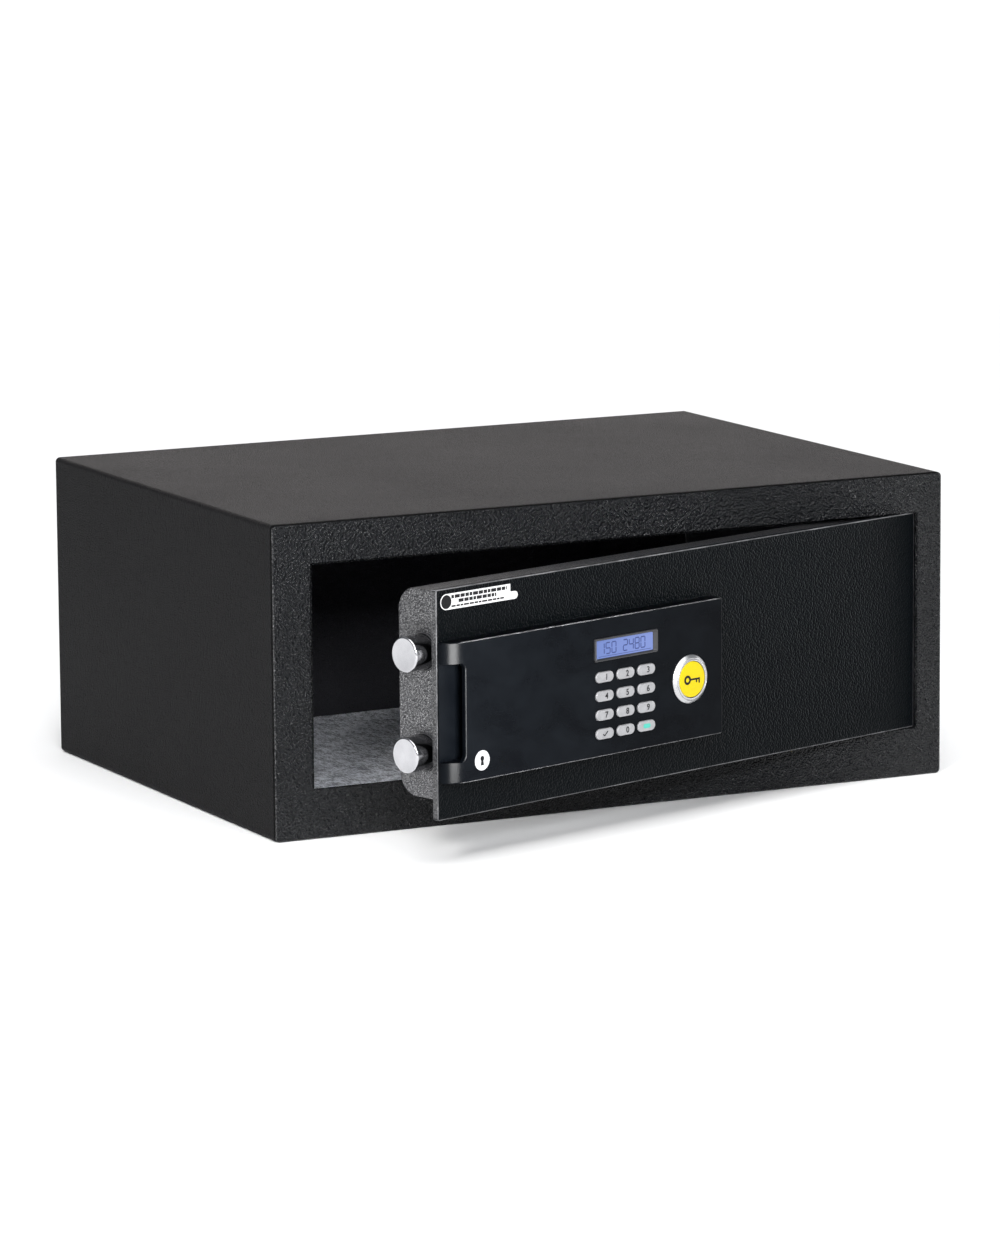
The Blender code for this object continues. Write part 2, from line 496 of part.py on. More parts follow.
cam = combine(prism(arm_pts, "y", 5.0 * MM, 7.5 * MM),
              [turned("y", LOCK_AT, ((3.3 * MM, 0.0), (3.3 * MM, 0.02)), 20)])
node("override_cam", cam, zinc, door, (lx, 0.0, lz))

# --------------------------------------------------------------- battery
bay_x = (BAY_X[0] + 0.4 * MM, BAY_X[1] - 0.4 * MM)
bay_z = (BAY_Z[0] + 0.4 * MM, BAY_Z[1] - 0.4 * MM)
tray = box(bay_x, (12.2 * MM, PAN_Y[1] - 3.4 * MM), bay_z)
tray = combine(tray, [box((bay_x[0] + 1.4 * MM, bay_x[1] - 1.4 * MM), (13.6 * MM, 0.05), (bay_z[0] + 1.4 * MM, bay_z[1] - 1.4 * MM))])
node("battery_tray", tray, black_abs, door)
mid_x, mid_z = sum(bay_x) / 2, sum(bay_z) / 2
for i in range(4):
    cx = mid_x + (i - 1.5) * 15.2 * MM
    z0, z1 = mid_z - CELL_L / 2, mid_z + CELL_L / 2
    up = i % 2 == 0
    prof = [(CELL_R, z0), (CELL_R, z1 - 1.2 * MM), (2.8 * MM, z1 - 1.2 * MM), (2.8 * MM, z1)]
    if not up:
        prof = [(2.8 * MM, z0), (2.8 * MM, z0 + 1.2 * MM), (CELL_R, z0 + 1.2 * MM), (CELL_R, z1)]
    cy = 13.6 * MM + 0.2 * MM + CELL_R
    node("battery_%d" % (i + 1), turned("z", (cx, cy), prof, 16), cell_dark, door, (cx, cy, mid_z), smooth=True)
cover = prism(rect(bay_x[0], bay_x[1], bay_z[0], bay_z[1], 1.6 * MM, 2), "y", PAN_Y[1] - 2.8 * MM, PAN_Y[1] + 0.6 * MM)
cover = combine(cover, [prism(rect(mid_x - 8 * MM, mid_x + 8 * MM, bay_z[1] - 6 * MM, bay_z[1] - 3 * MM, 1 * MM, 2),
                              "y", PAN_Y[1] - 0.8 * MM, PAN_Y[1] + 0.01)])
node("battery_cover", cover, black_abs, door, (mid_x, PAN_Y[1], mid_z))
rx, rz = RESET_AT
rst = turned("y", RESET_AT, ((5.2 * MM, PAN_Y[1] - 4.0 * MM), (5.2 * MM, PAN_Y[1] - 1.8 * MM), (4.0 * MM, PAN_Y[1] - 1.8 * MM),
                             (4.0 * MM, PAN_Y[1] + 1.2 * MM), (3.4 * MM, PAN_Y[1] + 1.8 * MM)), 16)
node("reset_button", rst, red, door, (rx, PAN_Y[1], rz), smooth=True)
for i, (sx, sz) in enumerate(STUDS):
    y = PAN_Y[1]
    scr = turned("y", (sx, sz), ((2.0 * MM, y - 10 * MM), (2.0 * MM, y + 0.2 * MM), (4.0 * MM, y + 0.2 * MM),
                                 (4.0 * MM, y + 1.4 * MM), (2.6 * MM, y + 2.2 * MM)), 12)
    node("pan_screw_%d" % (i + 1), scr, zinc, door, (sx, y, sz), smooth=True)

# ----------------------------------------------------------------- label
L0, L1, LT = PLATE_X[0] + 3.4 * MM, PLATE_X[0] + 62.5 * MM, PLATE_X[0] + 68.8 * MM
lab_z = (PLATE_Z[0] + 129.0 * MM, PLATE_Z[0] + 138.7 * MM)
r = (lab_z[1] - lab_z[0]) / 2
pts = [(L0 + r - r * math.sin(math.radians(22.5 * i)), sum(lab_z) / 2 + r * math.cos(math.radians(22.5 * i))) for i in range(9)]
tab = lab_z[0] + 2.4 * MM
pts += [(LT - 2.4 * MM + 2.4 * MM * math.sin(math.radians(45 * i)), tab - 2.4 * MM * math.cos(math.radians(45 * i))) for i in range(5)]
pts += [(L1, tab + 2.4 * MM), (L1, lab_z[1])]
node("warning_label", prism(pts, "y", PLATE_Y[0] - 0.5 * MM, PLATE_Y[0] - 0.25 * MM), paper, door)
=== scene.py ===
import math

import bmesh
import bpy
from mathutils import Matrix, Vector


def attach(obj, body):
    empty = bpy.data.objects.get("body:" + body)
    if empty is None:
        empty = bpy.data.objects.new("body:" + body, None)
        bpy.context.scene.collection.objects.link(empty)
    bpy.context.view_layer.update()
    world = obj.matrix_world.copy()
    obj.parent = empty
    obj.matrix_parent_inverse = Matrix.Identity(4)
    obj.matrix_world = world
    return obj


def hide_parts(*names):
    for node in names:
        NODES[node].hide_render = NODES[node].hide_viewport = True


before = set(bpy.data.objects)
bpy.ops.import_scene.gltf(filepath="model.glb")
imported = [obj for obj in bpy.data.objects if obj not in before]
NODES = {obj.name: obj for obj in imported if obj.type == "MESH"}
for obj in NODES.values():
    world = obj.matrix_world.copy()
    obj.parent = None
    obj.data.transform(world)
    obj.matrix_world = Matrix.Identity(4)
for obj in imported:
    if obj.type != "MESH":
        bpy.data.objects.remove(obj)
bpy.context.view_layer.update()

scene = bpy.context.scene
MM = 0.001

# ------------------------------------------------------------------ camera
def look_camera(az, el, roll, dist, target, f_px):
    az, el, roll = (math.radians(v) for v in (az, el, roll))
    back = Vector((math.sin(az) * math.cos(el), -math.cos(az) * math.cos(el), math.sin(el)))
    right = (-back).cross(Vector((0, 0, 1))).normalized()
    up = right.cross(-back)
    r2 = right * math.cos(roll) + up * math.sin(roll)
    u2 = -right * math.sin(roll) + up * math.cos(roll)
    cam = bpy.data.objects.new("camera", bpy.data.cameras.new("camera"))
    scene.collection.objects.link(cam)
    m = Matrix((r2, u2, back)).transposed().to_4x4()
    m.translation = Vector(target) + back * dist
    cam.matrix_world = m
    cam.data.sensor_fit = "VERTICAL"
    cam.data.sensor_height = 36.0
    cam.data.lens = f_px * 36.0 / 1250.0
    cam.data.clip_start, cam.data.clip_end = 0.05, 60.0
    scene.camera = cam
    return cam


look_camera(-26.526, 9.589, -0.424, 3.9752, (0.0043, 0.0, 0.0920), 5983.7)

# ------------------------------------------------- sizes, from the CAD nodes
W2, D2, H = 0.240, 0.175, 0.200
OPEN_X, OPEN_Z = (-0.2145, 0.2220), (0.0315, 0.1745)
FRONT_BACK = -0.172
PIVOT, ANGLE = (0.210, -0.166), 17.8
DOOR = Matrix.Translation((*PIVOT, 0.0)) @ Matrix.Rotation(math.radians(ANGLE), 4, "Z")
PLATE_X, PLATE_Y, PLATE_Z = (-0.4235, 0.0090), (-0.0090, -0.0045), (0.0321, 0.1741)
PAN_X, PAN_Y, PAN_Z, PAN_R = (-0.4175, -0.0120), (-0.0042, 0.0310), (0.0431, 0.1721), 0.014
FX, FZ = (-0.4231, -0.1830), (0.0551, 0.1421)
FACE = -0.0190
NOSE = 0.014
RECESS_X, RECESS_Z = -0.4091, (0.0681, 0.1289)
BOLT_Y, BOLT_Z, BOLT_X = 0.0084, (0.0719, 0.1339), (-0.4342, -0.3840)
KEY_X, KEY_Z = (-0.28960, -0.27115, -0.25270), (0.1050, 0.0931, 0.0812, 0.0693)
KEY_L, KEY_H = 0.0154, 0.0067
LCD_X, LCD_Z = (-0.29540, -0.24530), (0.11640, 0.12790)
BEZ_X, BEZ_Z = (-0.29850, -0.24230), (0.11500, 0.12960)
LOCK = (-0.2136, 0.0939)
STUDS = ((-0.352, 0.150), (-0.352, 0.065), (-0.030, 0.150), (-0.030, 0.065))
BAY_X, BAY_Z = (-0.1116, -0.0464), (0.0779, 0.1321)
RESET = (-0.150, 0.105)


# ------------------------------------------------------------ mesh helpers
def place(axis, p, q, t):
    return {"x": (t, p, q), "y": (p, t, q), "z": (p, q, t)}[axis]


def rect(p0, p1, q0, q1, r=0.0, seg=6):
    if r <= 1e-7:
        return [(p0, q0), (p1, q0), (p1, q1), (p0, q1)]
    pts = []
    for cx, cy, a0 in ((p1 - r, q0 + r, -90), (p1 - r, q1 - r, 0), (p0 + r, q1 - r, 90), (p0 + r, q0 + r, 180)):
        for i in range(seg + 1):
            a = math.radians(a0 + 90.0 * i / seg)
            pts.append((cx + r * math.cos(a), cy + r * math.sin(a)))
    return pts


def circle(c, r, n):
    return [(c[0] + r * math.cos(2 * math.pi * i / n), c[1] + r * math.sin(2 * math.pi * i / n)) for i in range(n)]


def mesh_of(verts, faces):
    bm = bmesh.new()
    vs = [bm.verts.new(v) for v in verts]
    for f in faces:
        bm.faces.new([vs[i] for i in f])
    bmesh.ops.recalc_face_normals(bm, faces=bm.faces)
    me = bpy.data.meshes.new("shape")
    bm.to_mesh(me)
    bm.free()
    return me


def loft(loops, ring=False):
    n, count = len(loops[0]), len(loops)
    verts = [tuple(p) for lp in loops for p in lp]
    faces = []
    for i in range(count if ring else count - 1):
        a, b = i * n, ((i + 1) % count) * n
        for k in range(n):
            j = (k + 1) % n
            faces.append((a + k, a + j, b + j, b + k))
    if not ring:
        faces += [tuple(range(n)), tuple(range((count - 1) * n, count * n))]
    return mesh_of(verts, faces)


def prism(outline, axis, lo, hi):
    return loft([[place(axis, p, q, t) for p, q in outline] for t in (lo, hi)])


def turned(axis, c, profile, n=64, bore=False):
    return loft([[place(axis, p, q, t) for p, q in circle(c, r, n)] for r, t in profile], ring=bore)


def box(x, y, z, r=0.0):
    return prism(rect(x[0], x[1], y[0], y[1], r), "z", z[0], z[1])


def combine(base, tools, how="DIFFERENCE"):
    obj = bpy.data.objects.new("work", base)
    scene.collection.objects.link(obj)
    for t in tools:
        cut = bpy.data.objects.new("tool", t)
        scene.collection.objects.link(cut)
        mod = obj.modifiers.new("cut", "BOOLEAN")
        mod.operation, mod.solver, mod.object = how, "EXACT", cut
        bpy.context.view_layer.update()
        done = bpy.data.meshes.new_from_object(obj.evaluated_get(bpy.context.evaluated_depsgraph_get()))
        obj.modifiers.clear()
        obj.data = done
        bpy.data.objects.remove(cut, do_unlink=True)
    out = obj.data
    bpy.data.objects.remove(obj, do_unlink=True)
    bm = bmesh.new()
    bm.from_mesh(out)
    bmesh.ops.remove_doubles(bm, verts=bm.verts, dist=2e-6)
    bmesh.ops.dissolve_degenerate(bm, edges=bm.edges, dist=2e-6)
    bmesh.ops.dissolve_limit(bm, angle_limit=math.radians(0.3), verts=bm.verts, edges=bm.edges)
    bm.to_mesh(out)
    bm.free()
    return out


def joined(meshes):
    bm = bmesh.new()
    for me in meshes:
        bm.from_mesh(me)
    out = bpy.data.meshes.new("shape")
    bm.to_mesh(out)
    bm.free()
    return out


def piece(name, me, mat, body, at=None, bevel=0.0, seg=3, smooth=35, angle=30):
    """A finished mesh piece that rides on a CAD body; at is the matrix from its own frame to the row frame."""
    if at is not None:
        me.transform(at)
    me.name = name
    me.materials.clear()
    for m in (mat if isinstance(mat, (list, tuple)) else [mat]):
        me.materials.append(m)
    obj = bpy.data.objects.new(name, me)
    scene.collection.objects.link(obj)
    if bevel > 0:
        mod = obj.modifiers.new("edges", "BEVEL")
        mod.width, mod.segments, mod.limit_method = bevel, seg, "ANGLE"
        mod.angle_limit = math.radians(angle)
        mod.use_clamp_overlap = True
        mod.harden_normals = False
        bpy.context.view_layer.update()
        done = bpy.data.meshes.new_from_object(obj.evaluated_get(bpy.context.evaluated_depsgraph_get()))
        obj.modifiers.clear()
        obj.data = done
        done.name = name
        me = done
    if smooth:
        me.shade_smooth()
        me.set_sharp_from_angle(angle=math.radians(smooth))
        mod = obj.modifiers.new("normals", "WEIGHTED_NORMAL")
        mod.mode, mod.weight, mod.keep_sharp = "FACE_AREA", 100, True
        bpy.context.view_layer.update()
        done = bpy.data.meshes.new_from_object(obj.evaluated_get(bpy.context.evaluated_depsgraph_get()))
        obj.modifiers.clear()
        obj.data = done
        done.name = name
    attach(obj, body)
    return obj


# --------------------------------------------------------------- materials
class Graph:
    """Small helper that builds a Principled material node by node."""

    def __init__(self, name):
        self.m = bpy.data.materials.new(name)
        self.m.use_nodes = True
        self.t = self.m.node_tree
        self.t.nodes.clear()
        self.out = self.t.nodes.new("ShaderNodeOutputMaterial")
        self.b = self.t.nodes.new("ShaderNodeBsdfPrincipled")
        self.t.links.new(self.b.outputs[0], self.out.inputs[0])
        self.tc = self.t.nodes.new("ShaderNodeTexCoord").outputs["Object"]

    def put(self, socket, value):
        if isinstance(value, bpy.types.NodeSocket):
            self.t.links.new(value, socket)
        else:
            socket.default_value = value

    def vec(self, scale=(1, 1, 1), turn=(0, 0, 0), src=None):
        n = self.t.nodes.new("ShaderNodeMapping")
        n.inputs["Scale"].default_value = scale
        n.inputs["Rotation"].default_value = turn
        self.put(n.inputs["Vector"], src or self.tc)
        return n.outputs[0]

    def door_space(self):
        """Coordinates of the closed door's own frame, for pieces that hang on it."""
        n = self.t.nodes.new("ShaderNodeMapping")
        a = math.radians(-ANGLE)
        px, py = PIVOT
        n.inputs["Rotation"].default_value = (0, 0, a)
        n.inputs["Location"].default_value = (-(px * math.cos(a) - py * math.sin(a)), -(px * math.sin(a) + py * math.cos(a)), 0)
        self.put(n.inputs["Vector"], self.tc)
        return n.outputs[0]

    def edge_of(self, lo, hi, width, vec=None):
        """1 on the edges of a box, falling to 0 over width."""
        sep = self.t.nodes.new("ShaderNodeSeparateXYZ")
        self.put(sep.inputs[0], vec or self.tc)
        d = []
        for k, ax in enumerate("XYZ"):
            c, h = (lo[k] + hi[k]) / 2, (hi[k] - lo[k]) / 2
            d.append(self.math("SUBTRACT", h, self.math("ABSOLUTE", self.math("SUBTRACT", sep.outputs[ax], c))))
        mid = self.math("MAXIMUM", self.math("MINIMUM", d[0], d[1]), self.math("MINIMUM", self.math("MAXIMUM", d[0], d[1]), d[2]))
        return self.span(mid, 0.0, width, 1.0, 0.0)

    def noise(self, scale, detail=3.0, rough=0.55, vec=None, distort=0.0):
        n = self.t.nodes.new("ShaderNodeTexNoise")
        n.inputs["Scale"].default_value = scale
        n.inputs["Detail"].default_value = detail
        n.inputs["Roughness"].default_value = rough
        n.inputs["Distortion"].default_value = distort
        self.put(n.inputs["Vector"], vec or self.tc)
        return n.outputs["Fac"]

    def cells(self, scale, smooth=0.5, feature="SMOOTH_F1", vec=None, rand=1.0):
        n = self.t.nodes.new("ShaderNodeTexVoronoi")
        n.feature = feature
        n.inputs["Scale"].default_value = scale
        if "Smoothness" in n.inputs and feature == "SMOOTH_F1":
            n.inputs["Smoothness"].default_value = smooth
        n.inputs["Randomness"].default_value = rand
        self.put(n.inputs["Vector"], vec or self.tc)
        return n.outputs["Distance"]

    def math(self, op, a, b=0.0, clamp=False):
        n = self.t.nodes.new("ShaderNodeMath")
        n.operation, n.use_clamp = op, clamp
        self.put(n.inputs[0], a)
        self.put(n.inputs[1], b)
        return n.outputs[0]

    def span(self, v, a, b, lo, hi):
        n = self.t.nodes.new("ShaderNodeMapRange")
        self.put(n.inputs["Value"], v)
        n.inputs["From Min"].default_value, n.inputs["From Max"].default_value = a, b
        n.inputs["To Min"].default_value, n.inputs["To Max"].default_value = lo, hi
        return n.outputs[0]

    def mix(self, fac, a, b, kind="MIX"):
        n = self.t.nodes.new("ShaderNodeMix")
        n.data_type, n.blend_type = "RGBA", kind
        self.put(n.inputs[0], fac)
        for s, v in ((n.inputs[6], a), (n.inputs[7], b)):
            self.put(s, v if isinstance(v, bpy.types.NodeSocket) else (*v, 1.0))
        return n.outputs[2]

    def bump(self, height, strength, distance, under=None):
        n = self.t.nodes.new("ShaderNodeBump")
        n.inputs["Strength"].default_value = strength
        n.inputs["Distance"].default_value = distance
        self.put(n.inputs["Height"], height)
        if under is not None:
            self.put(n.inputs["Normal"], under)
        return n.outputs[0]

    def done(self, colour, rough, metal=0.0, normal=None, **fixed):
        self.put(self.b.inputs["Base Color"], colour if isinstance(colour, bpy.types.NodeSocket) else (*colour, 1.0))
        self.put(self.b.inputs["Roughness"], rough)
        self.b.inputs["Metallic"].default_value = metal
        if normal is not None:
            self.put(self.b.inputs["Normal"], normal)
        for k, v in fixed.items():
            self.b.inputs[k.replace("_", " ")].default_value = v
        return self.m


def grained(name, dark, light, rough, cell, depth, spec=0.5, edges=None, edge_highlight_colour=(0.05, 0.05, 0.053), amount=0.7, door=False, highlight_noise_scale=None):
    """Powder coat: rounded pebble grain with creases, fine orange peel, faint colour drift, painted highlight along the
    box edges.
    """
    g = Graph(name)
    vec = g.door_space() if door else g.tc
    warp = g.noise(cell * 0.5, 2.0, 0.5, vec)
    c1 = g.cells(cell, 0.22, vec=vec)
    c2 = g.cells(cell * 2.3, 0.4, vec=vec)
    h = g.math("MULTIPLY", g.math("MULTIPLY", c1, c1), -1.0)
    h = g.math("ADD", h, g.math("MULTIPLY", c2, -0.10))
    h = g.math("ADD", h, g.math("MULTIPLY", warp, 0.35))
    nrm = g.bump(h, 1.0, depth)
    drift = g.noise(9.0, 3.0, 0.6, vec)
    speck = g.noise(cell * 1.4, 1.0, 0.5, vec)
    k = g.math("ADD", g.math("MULTIPLY", drift, 0.6), g.math("MULTIPLY", speck, 0.4))
    col = g.mix(g.span(k, 0.35, 0.65, 0.0, 1.0), dark, light)
    r = g.span(g.math("ADD", g.math("MULTIPLY", c1, 0.5), g.math("MULTIPLY", drift, 0.5)), 0.2, 0.8, rough - 0.07, rough + 0.07)
    # painted highlight: a lighter band along the edges of the given box, broken up by noise
    if edges:
        m = g.edge_of(*edges, vec=vec)
        lo = 0.45 * amount if highlight_noise_scale else 0.0
        edge_highlight = g.math("MULTIPLY", m, g.span(g.noise(highlight_noise_scale or cell * 0.9, 3.0, 0.7, vec), 0.42, 0.62, lo, amount), True)
        col = g.mix(edge_highlight, col, edge_highlight_colour)
    return g.done(col, r, 0.0, nrm, Specular_IOR_Level=spec)


def metal_mat(name, dark, light, rough, along="x", streak=900.0, metal=1.0):
    """Machined or plated metal: fine streaks along one axis of the row frame, with blotchy roughness."""
    g = Graph(name)
    sc = {"x": (0.04, 1, 1), "y": (1, 0.04, 1), "z": (1, 1, 0.04)}[along]
    v = g.vec(sc)
    s = g.noise(streak, 3.0, 0.6, v)
    blot = g.noise(60.0, 4.0, 0.6)
    col = g.mix(g.span(blot, 0.3, 0.7, 0.0, 1.0), dark, light)
    r = g.span(g.math("ADD", g.math("MULTIPLY", s, 0.5), g.math("MULTIPLY", blot, 0.5)), 0.3, 0.7, rough * 0.75, rough * 1.3)
    return g.done(col, r, metal, g.bump(s, 0.25, 0.00003))


def plastic(name, dark, light, rough, grain=2600.0, depth=0.00003, spec=0.5, wear=0.08, edges=None, edge_highlight_colour=(0.1, 0.1, 0.1)):
    """Moulded plastic: very fine spark-eroded grain, faint handling smears in the gloss, painted highlight along the
    box edges.
    """
    g = Graph(name)
    fine = g.noise(grain, 2.0, 0.6)
    smear = g.noise(22.0, 5.0, 0.65, g.vec((1.0, 1.0, 1.6)), 0.6)
    col = g.mix(g.span(smear, 0.35, 0.65, 0.0, 1.0), dark, light)
    r = g.span(smear, 0.3, 0.7, rough - wear * 0.5, rough + wear)
    # painted highlight: thin lighter lines along the edges of the given box, broken up by noise
    if edges:
        v = g.door_space()
        m = g.math("MULTIPLY", g.edge_of(*edges, vec=v), g.span(g.noise(160.0, 3.0, 0.7, v), 0.35, 0.6, 0.2, 1.0), True)
        col = g.mix(m, col, edge_highlight_colour)
    return g.done(col, r, 0.0, g.bump(fine, 0.5, depth), Specular_IOR_Level=spec)


M = {}
# the lighter edge colours given to these coats are painted highlights along their edges
M["shell"] = grained("coat_shell", (0.0056, 0.0054, 0.0060), (0.0084, 0.0080, 0.0087), 0.50, 1150.0, 0.00060, 0.050,
                     ((-0.24, -0.1717, 0.0), (0.24, 0.175, 0.2), 0.0012), (0.03, 0.03, 0.031), 0.5)
M["frame"] = grained("coat_front", (0.0020, 0.0024, 0.0031), (0.0044, 0.0047, 0.0057), 0.25, 720.0, 0.00240, 0.26,
                     ((-0.24, -0.175, 0.0), (0.24, -0.172, 0.2), 0.0008), (0.16, 0.16, 0.165), 1.0)
M["plate"] = grained("coat_door", (0.0011, 0.0018, 0.0024), (0.0020, 0.0030, 0.0038), 0.38, 760.0, 0.00050, 0.040,
                     ((PLATE_X[0], PLATE_Y[0], PLATE_Z[0]), (PLATE_X[1], PLATE_Y[1], PLATE_Z[1]), 0.0008), (0.26, 0.26, 0.27), 1.0, True, 70.0)
M["pan"] = grained("coat_pan", (0.0090, 0.0090, 0.0105), (0.0150, 0.0150, 0.0170), 0.34, 700.0, 0.00130, 0.50,
                   ((PAN_X[0], PAN_Y[0], PAN_Z[0]), (PAN_X[1], PAN_Y[1], PAN_Z[1]), 0.0016), (0.05, 0.05, 0.052), 1.0, True)
# painted light: the shell's black coat lightened for the inside walls, standing in for fill light inside the cabinet
M["inner"] = grained("coat_inside_painted_fill", (0.036, 0.037, 0.043), (0.050, 0.052, 0.058), 0.50, 1000.0, 0.00020, 0.20)
# painted light: the shell's black coat lightened for the back panel so the inside reads lit
M["back"] = grained("coat_back_painted_fill", (0.017, 0.017, 0.020), (0.026, 0.026, 0.030), 0.50, 1150.0, 0.00060, 0.08,
                    ((-0.24, -0.30, 0.0), (0.24, 0.175, 0.2), 0.0010), (0.05, 0.05, 0.052), 0.6)
# painted shade: a near-black coat for the seam walls of the front plate and its top bevel
M["joint"] = grained("coat_seam_shade", (0.0015, 0.0015, 0.0016), (0.0024, 0.0024, 0.0026), 0.70, 1500.0, 0.00010, 0.02)
# painted highlight: thin light lines along the fascia's outer edges
M["fascia"] = plastic("fascia_abs", (0.0002, 0.0003, 0.0005), (0.0005, 0.0007, 0.0010), 0.28, 2600.0, 0.000025, 0.042,
                      edges=((FX[0] - 0.02, FACE, FZ[0]), (FX[1], PLATE_Y[0] + 0.02, FZ[1]), 0.0007), edge_highlight_colour=(0.085, 0.085, 0.088))
M["bezel"] = plastic("bezel_abs", (0.012, 0.012, 0.014), (0.020, 0.020, 0.023), 0.36, 3000.0, 0.000006, spec=0.6)
M["nylon"] = plastic("nylon_black", (0.020, 0.020, 0.022), (0.034, 0.034, 0.037), 0.30, 1500.0, 0.00005)
M["tray"] = plastic("tray_abs", (0.012, 0.012, 0.013), (0.020, 0.020, 0.021), 0.40, 1600.0, 0.00005)
M["red"] = plastic("button_red", (0.50, 0.018, 0.016), (0.62, 0.030, 0.024), 0.34, 1800.0, 0.00003)
M["module"] = plastic("module_white", (0.48, 0.49, 0.48), (0.58, 0.59, 0.58), 0.45, 1500.0, 0.00003)
M["silicone"] = plastic("silicone_grey", (0.24, 0.24, 0.25), (0.32, 0.32, 0.33), 0.65, 1200.0, 0.00005, spec=0.3)
M["acetal"] = plastic("acetal_white", (0.66, 0.65, 0.61), (0.74, 0.73, 0.70), 0.42, 1600.0, 0.00003)
M["zinc"] = metal_mat("zinc_plate", (0.48, 0.49, 0.50), (0.62, 0.63, 0.64), 0.34, "z")
M["blackened"] = metal_mat("blackened_steel", (0.030, 0.030, 0.033), (0.060, 0.060, 0.064), 0.40, "z", metal=0.8)
M["brass"] = metal_mat("brass_turned", (0.62, 0.45, 0.18), (0.76, 0.58, 0.27), 0.26, "y")
M["motor"] = metal_mat("motor_can", (0.34, 0.34, 0.36), (0.48, 0.48, 0.50), 0.32, "x")
M["chrome"] = metal_mat("bolt_chrome", (0.47, 0.47, 0.49), (0.60, 0.60, 0.62), 0.15, "x", 1400.0)
# painted shade: a darker copy of the bolt chrome for the shank, standing in for the dark surroundings it reflects
M["barrel"] = metal_mat("bolt_barrel", (0.13, 0.13, 0.14), (0.24, 0.24, 0.25), 0.16, "x", 1400.0)
M["ring"] = metal_mat("ring_satin", (0.52, 0.52, 0.53), (0.66, 0.66, 0.67), 0.30, "z", 1800.0)

# key caps: pearl-grey lacquer with fine metallic flake
g = Graph("key_pearl")
fl = g.noise(5200.0, 1.0, 0.5)
soft = g.noise(260.0, 3.0, 0.6)
M["key"] = g.done(g.mix(g.span(g.math("ADD", g.math("MULTIPLY", fl, 0.6), g.math("MULTIPLY", soft, 0.4)), 0.35, 0.65, 0, 1),
                        (0.25, 0.25, 0.26), (0.37, 0.37, 0.38)),
                  g.span(fl, 0.3, 0.7, 0.30, 0.44), 0.35, g.bump(fl, 0.25, 0.00002))

# felt: matted fibres, blue-grey with dark and light strands
g = Graph("felt_grey")
f1 = g.noise(720.0, 4.0, 0.75, g.vec((1.0, 0.30, 1.0), (0, 0, 0.30)), 0.8)
f2 = g.noise(900.0, 4.0, 0.75, g.vec((0.9, 0.24, 1.0), (0, 0, -0.25)), 0.8)
patch = g.noise(170.0, 4.0, 0.7, g.vec((1.0, 0.6, 1.0)))
fib = g.math("ADD", g.math("MULTIPLY", f1, 0.5), g.math("MULTIPLY", f2, 0.5))
k = g.math("ADD", g.math("MULTIPLY", fib, 0.70), g.math("MULTIPLY", patch, 0.30))
M["felt"] = g.done(g.mix(g.span(k, 0.45, 0.55, 0, 1), (0.070, 0.085, 0.130), (0.86, 0.89, 0.97)),
                   0.95, 0.0, g.bump(fib, 1.0, 0.0022), Sheen_Weight=0.35, Sheen_Roughness=0.5, Specular_IOR_Level=0.2)

# backlit display: even blue glow, faint pixel mesh, brighter towards the lamps at the right end
g = Graph("lcd_blue")
sepx = g.t.nodes.new("ShaderNodeSeparateXYZ")
g.put(sepx.inputs[0], g.tc)
wave = g.noise(120.0, 2.0, 0.5)
lit = g.span(sepx.outputs["X"], -0.0724, -0.0246, 0.0, 1.0)
colour = g.mix(g.math("ADD", g.math("MULTIPLY", lit, 0.75), g.math("MULTIPLY", wave, 0.25)), (0.150, 0.245, 0.640), (0.270, 0.365, 0.840))
M["lcd"] = g.done((0.02, 0.03, 0.07), 0.16, 0.0, None, Specular_IOR_Level=0.4)
g.put(g.b.inputs["Emission Color"], colour)
g.b.inputs["Emission Strength"].default_value = 0.66

g = Graph("lcd_ink")
n1 = g.noise(900.0, 2.0, 0.5)
M["ink"] = g.done(g.mix(n1, (0.020, 0.030, 0.105), (0.030, 0.045, 0.135)), 0.35, 0.0, None, Specular_IOR_Level=0.2)
g.b.inputs["Emission Color"].default_value = (0.030, 0.050, 0.170, 1)
g.b.inputs["Emission Strength"].default_value = 0.35


def print_mat(name, a, b, rough=0.4):
    g = Graph(name)
    n = g.noise(1800.0, 2.0, 0.6)
    return g.done(g.mix(n, a, b), g.span(n, 0.3, 0.7, rough - 0.05, rough + 0.05), 0.0, g.bump(n, 0.2, 0.00001), Specular_IOR_Level=0.15)


M["print_black"] = print_mat("print_black", (0.004, 0.004, 0.005), (0.009, 0.009, 0.010))
M["print_grey"] = print_mat("print_grey", (0.14, 0.14, 0.15), (0.20, 0.20, 0.21))
M["print_teal"] = print_mat("print_teal", (0.05, 0.36, 0.29), (0.09, 0.44, 0.36))
M["paper"] = print_mat("label_white", (0.60, 0.60, 0.60), (0.70, 0.70, 0.70), 0.45)
M["yellow"] = print_mat("cap_yellow", (0.50, 0.385, 0.003), (0.55, 0.425, 0.005), 0.42)
M["white"] = print_mat("print_white", (0.62, 0.62, 0.63), (0.70, 0.70, 0.71), 0.5)

# circuit board: green mask with copper tracks
g = Graph("board_mask")
br = g.t.nodes.new("ShaderNodeTexBrick")
br.inputs["Scale"].default_value = 160.0
br.inputs["Color1"].default_value = (0.010, 0.110, 0.045, 1)
br.inputs["Color2"].default_value = (0.014, 0.140, 0.060, 1)
br.inputs["Mortar"].default_value = (0.05, 0.25, 0.10, 1)
g.put(br.inputs["Vector"], g.tc)
M["board"] = g.done(br.outputs["Color"], 0.35, 0.0, g.bump(g.noise(1500.0), 0.2, 0.00003))

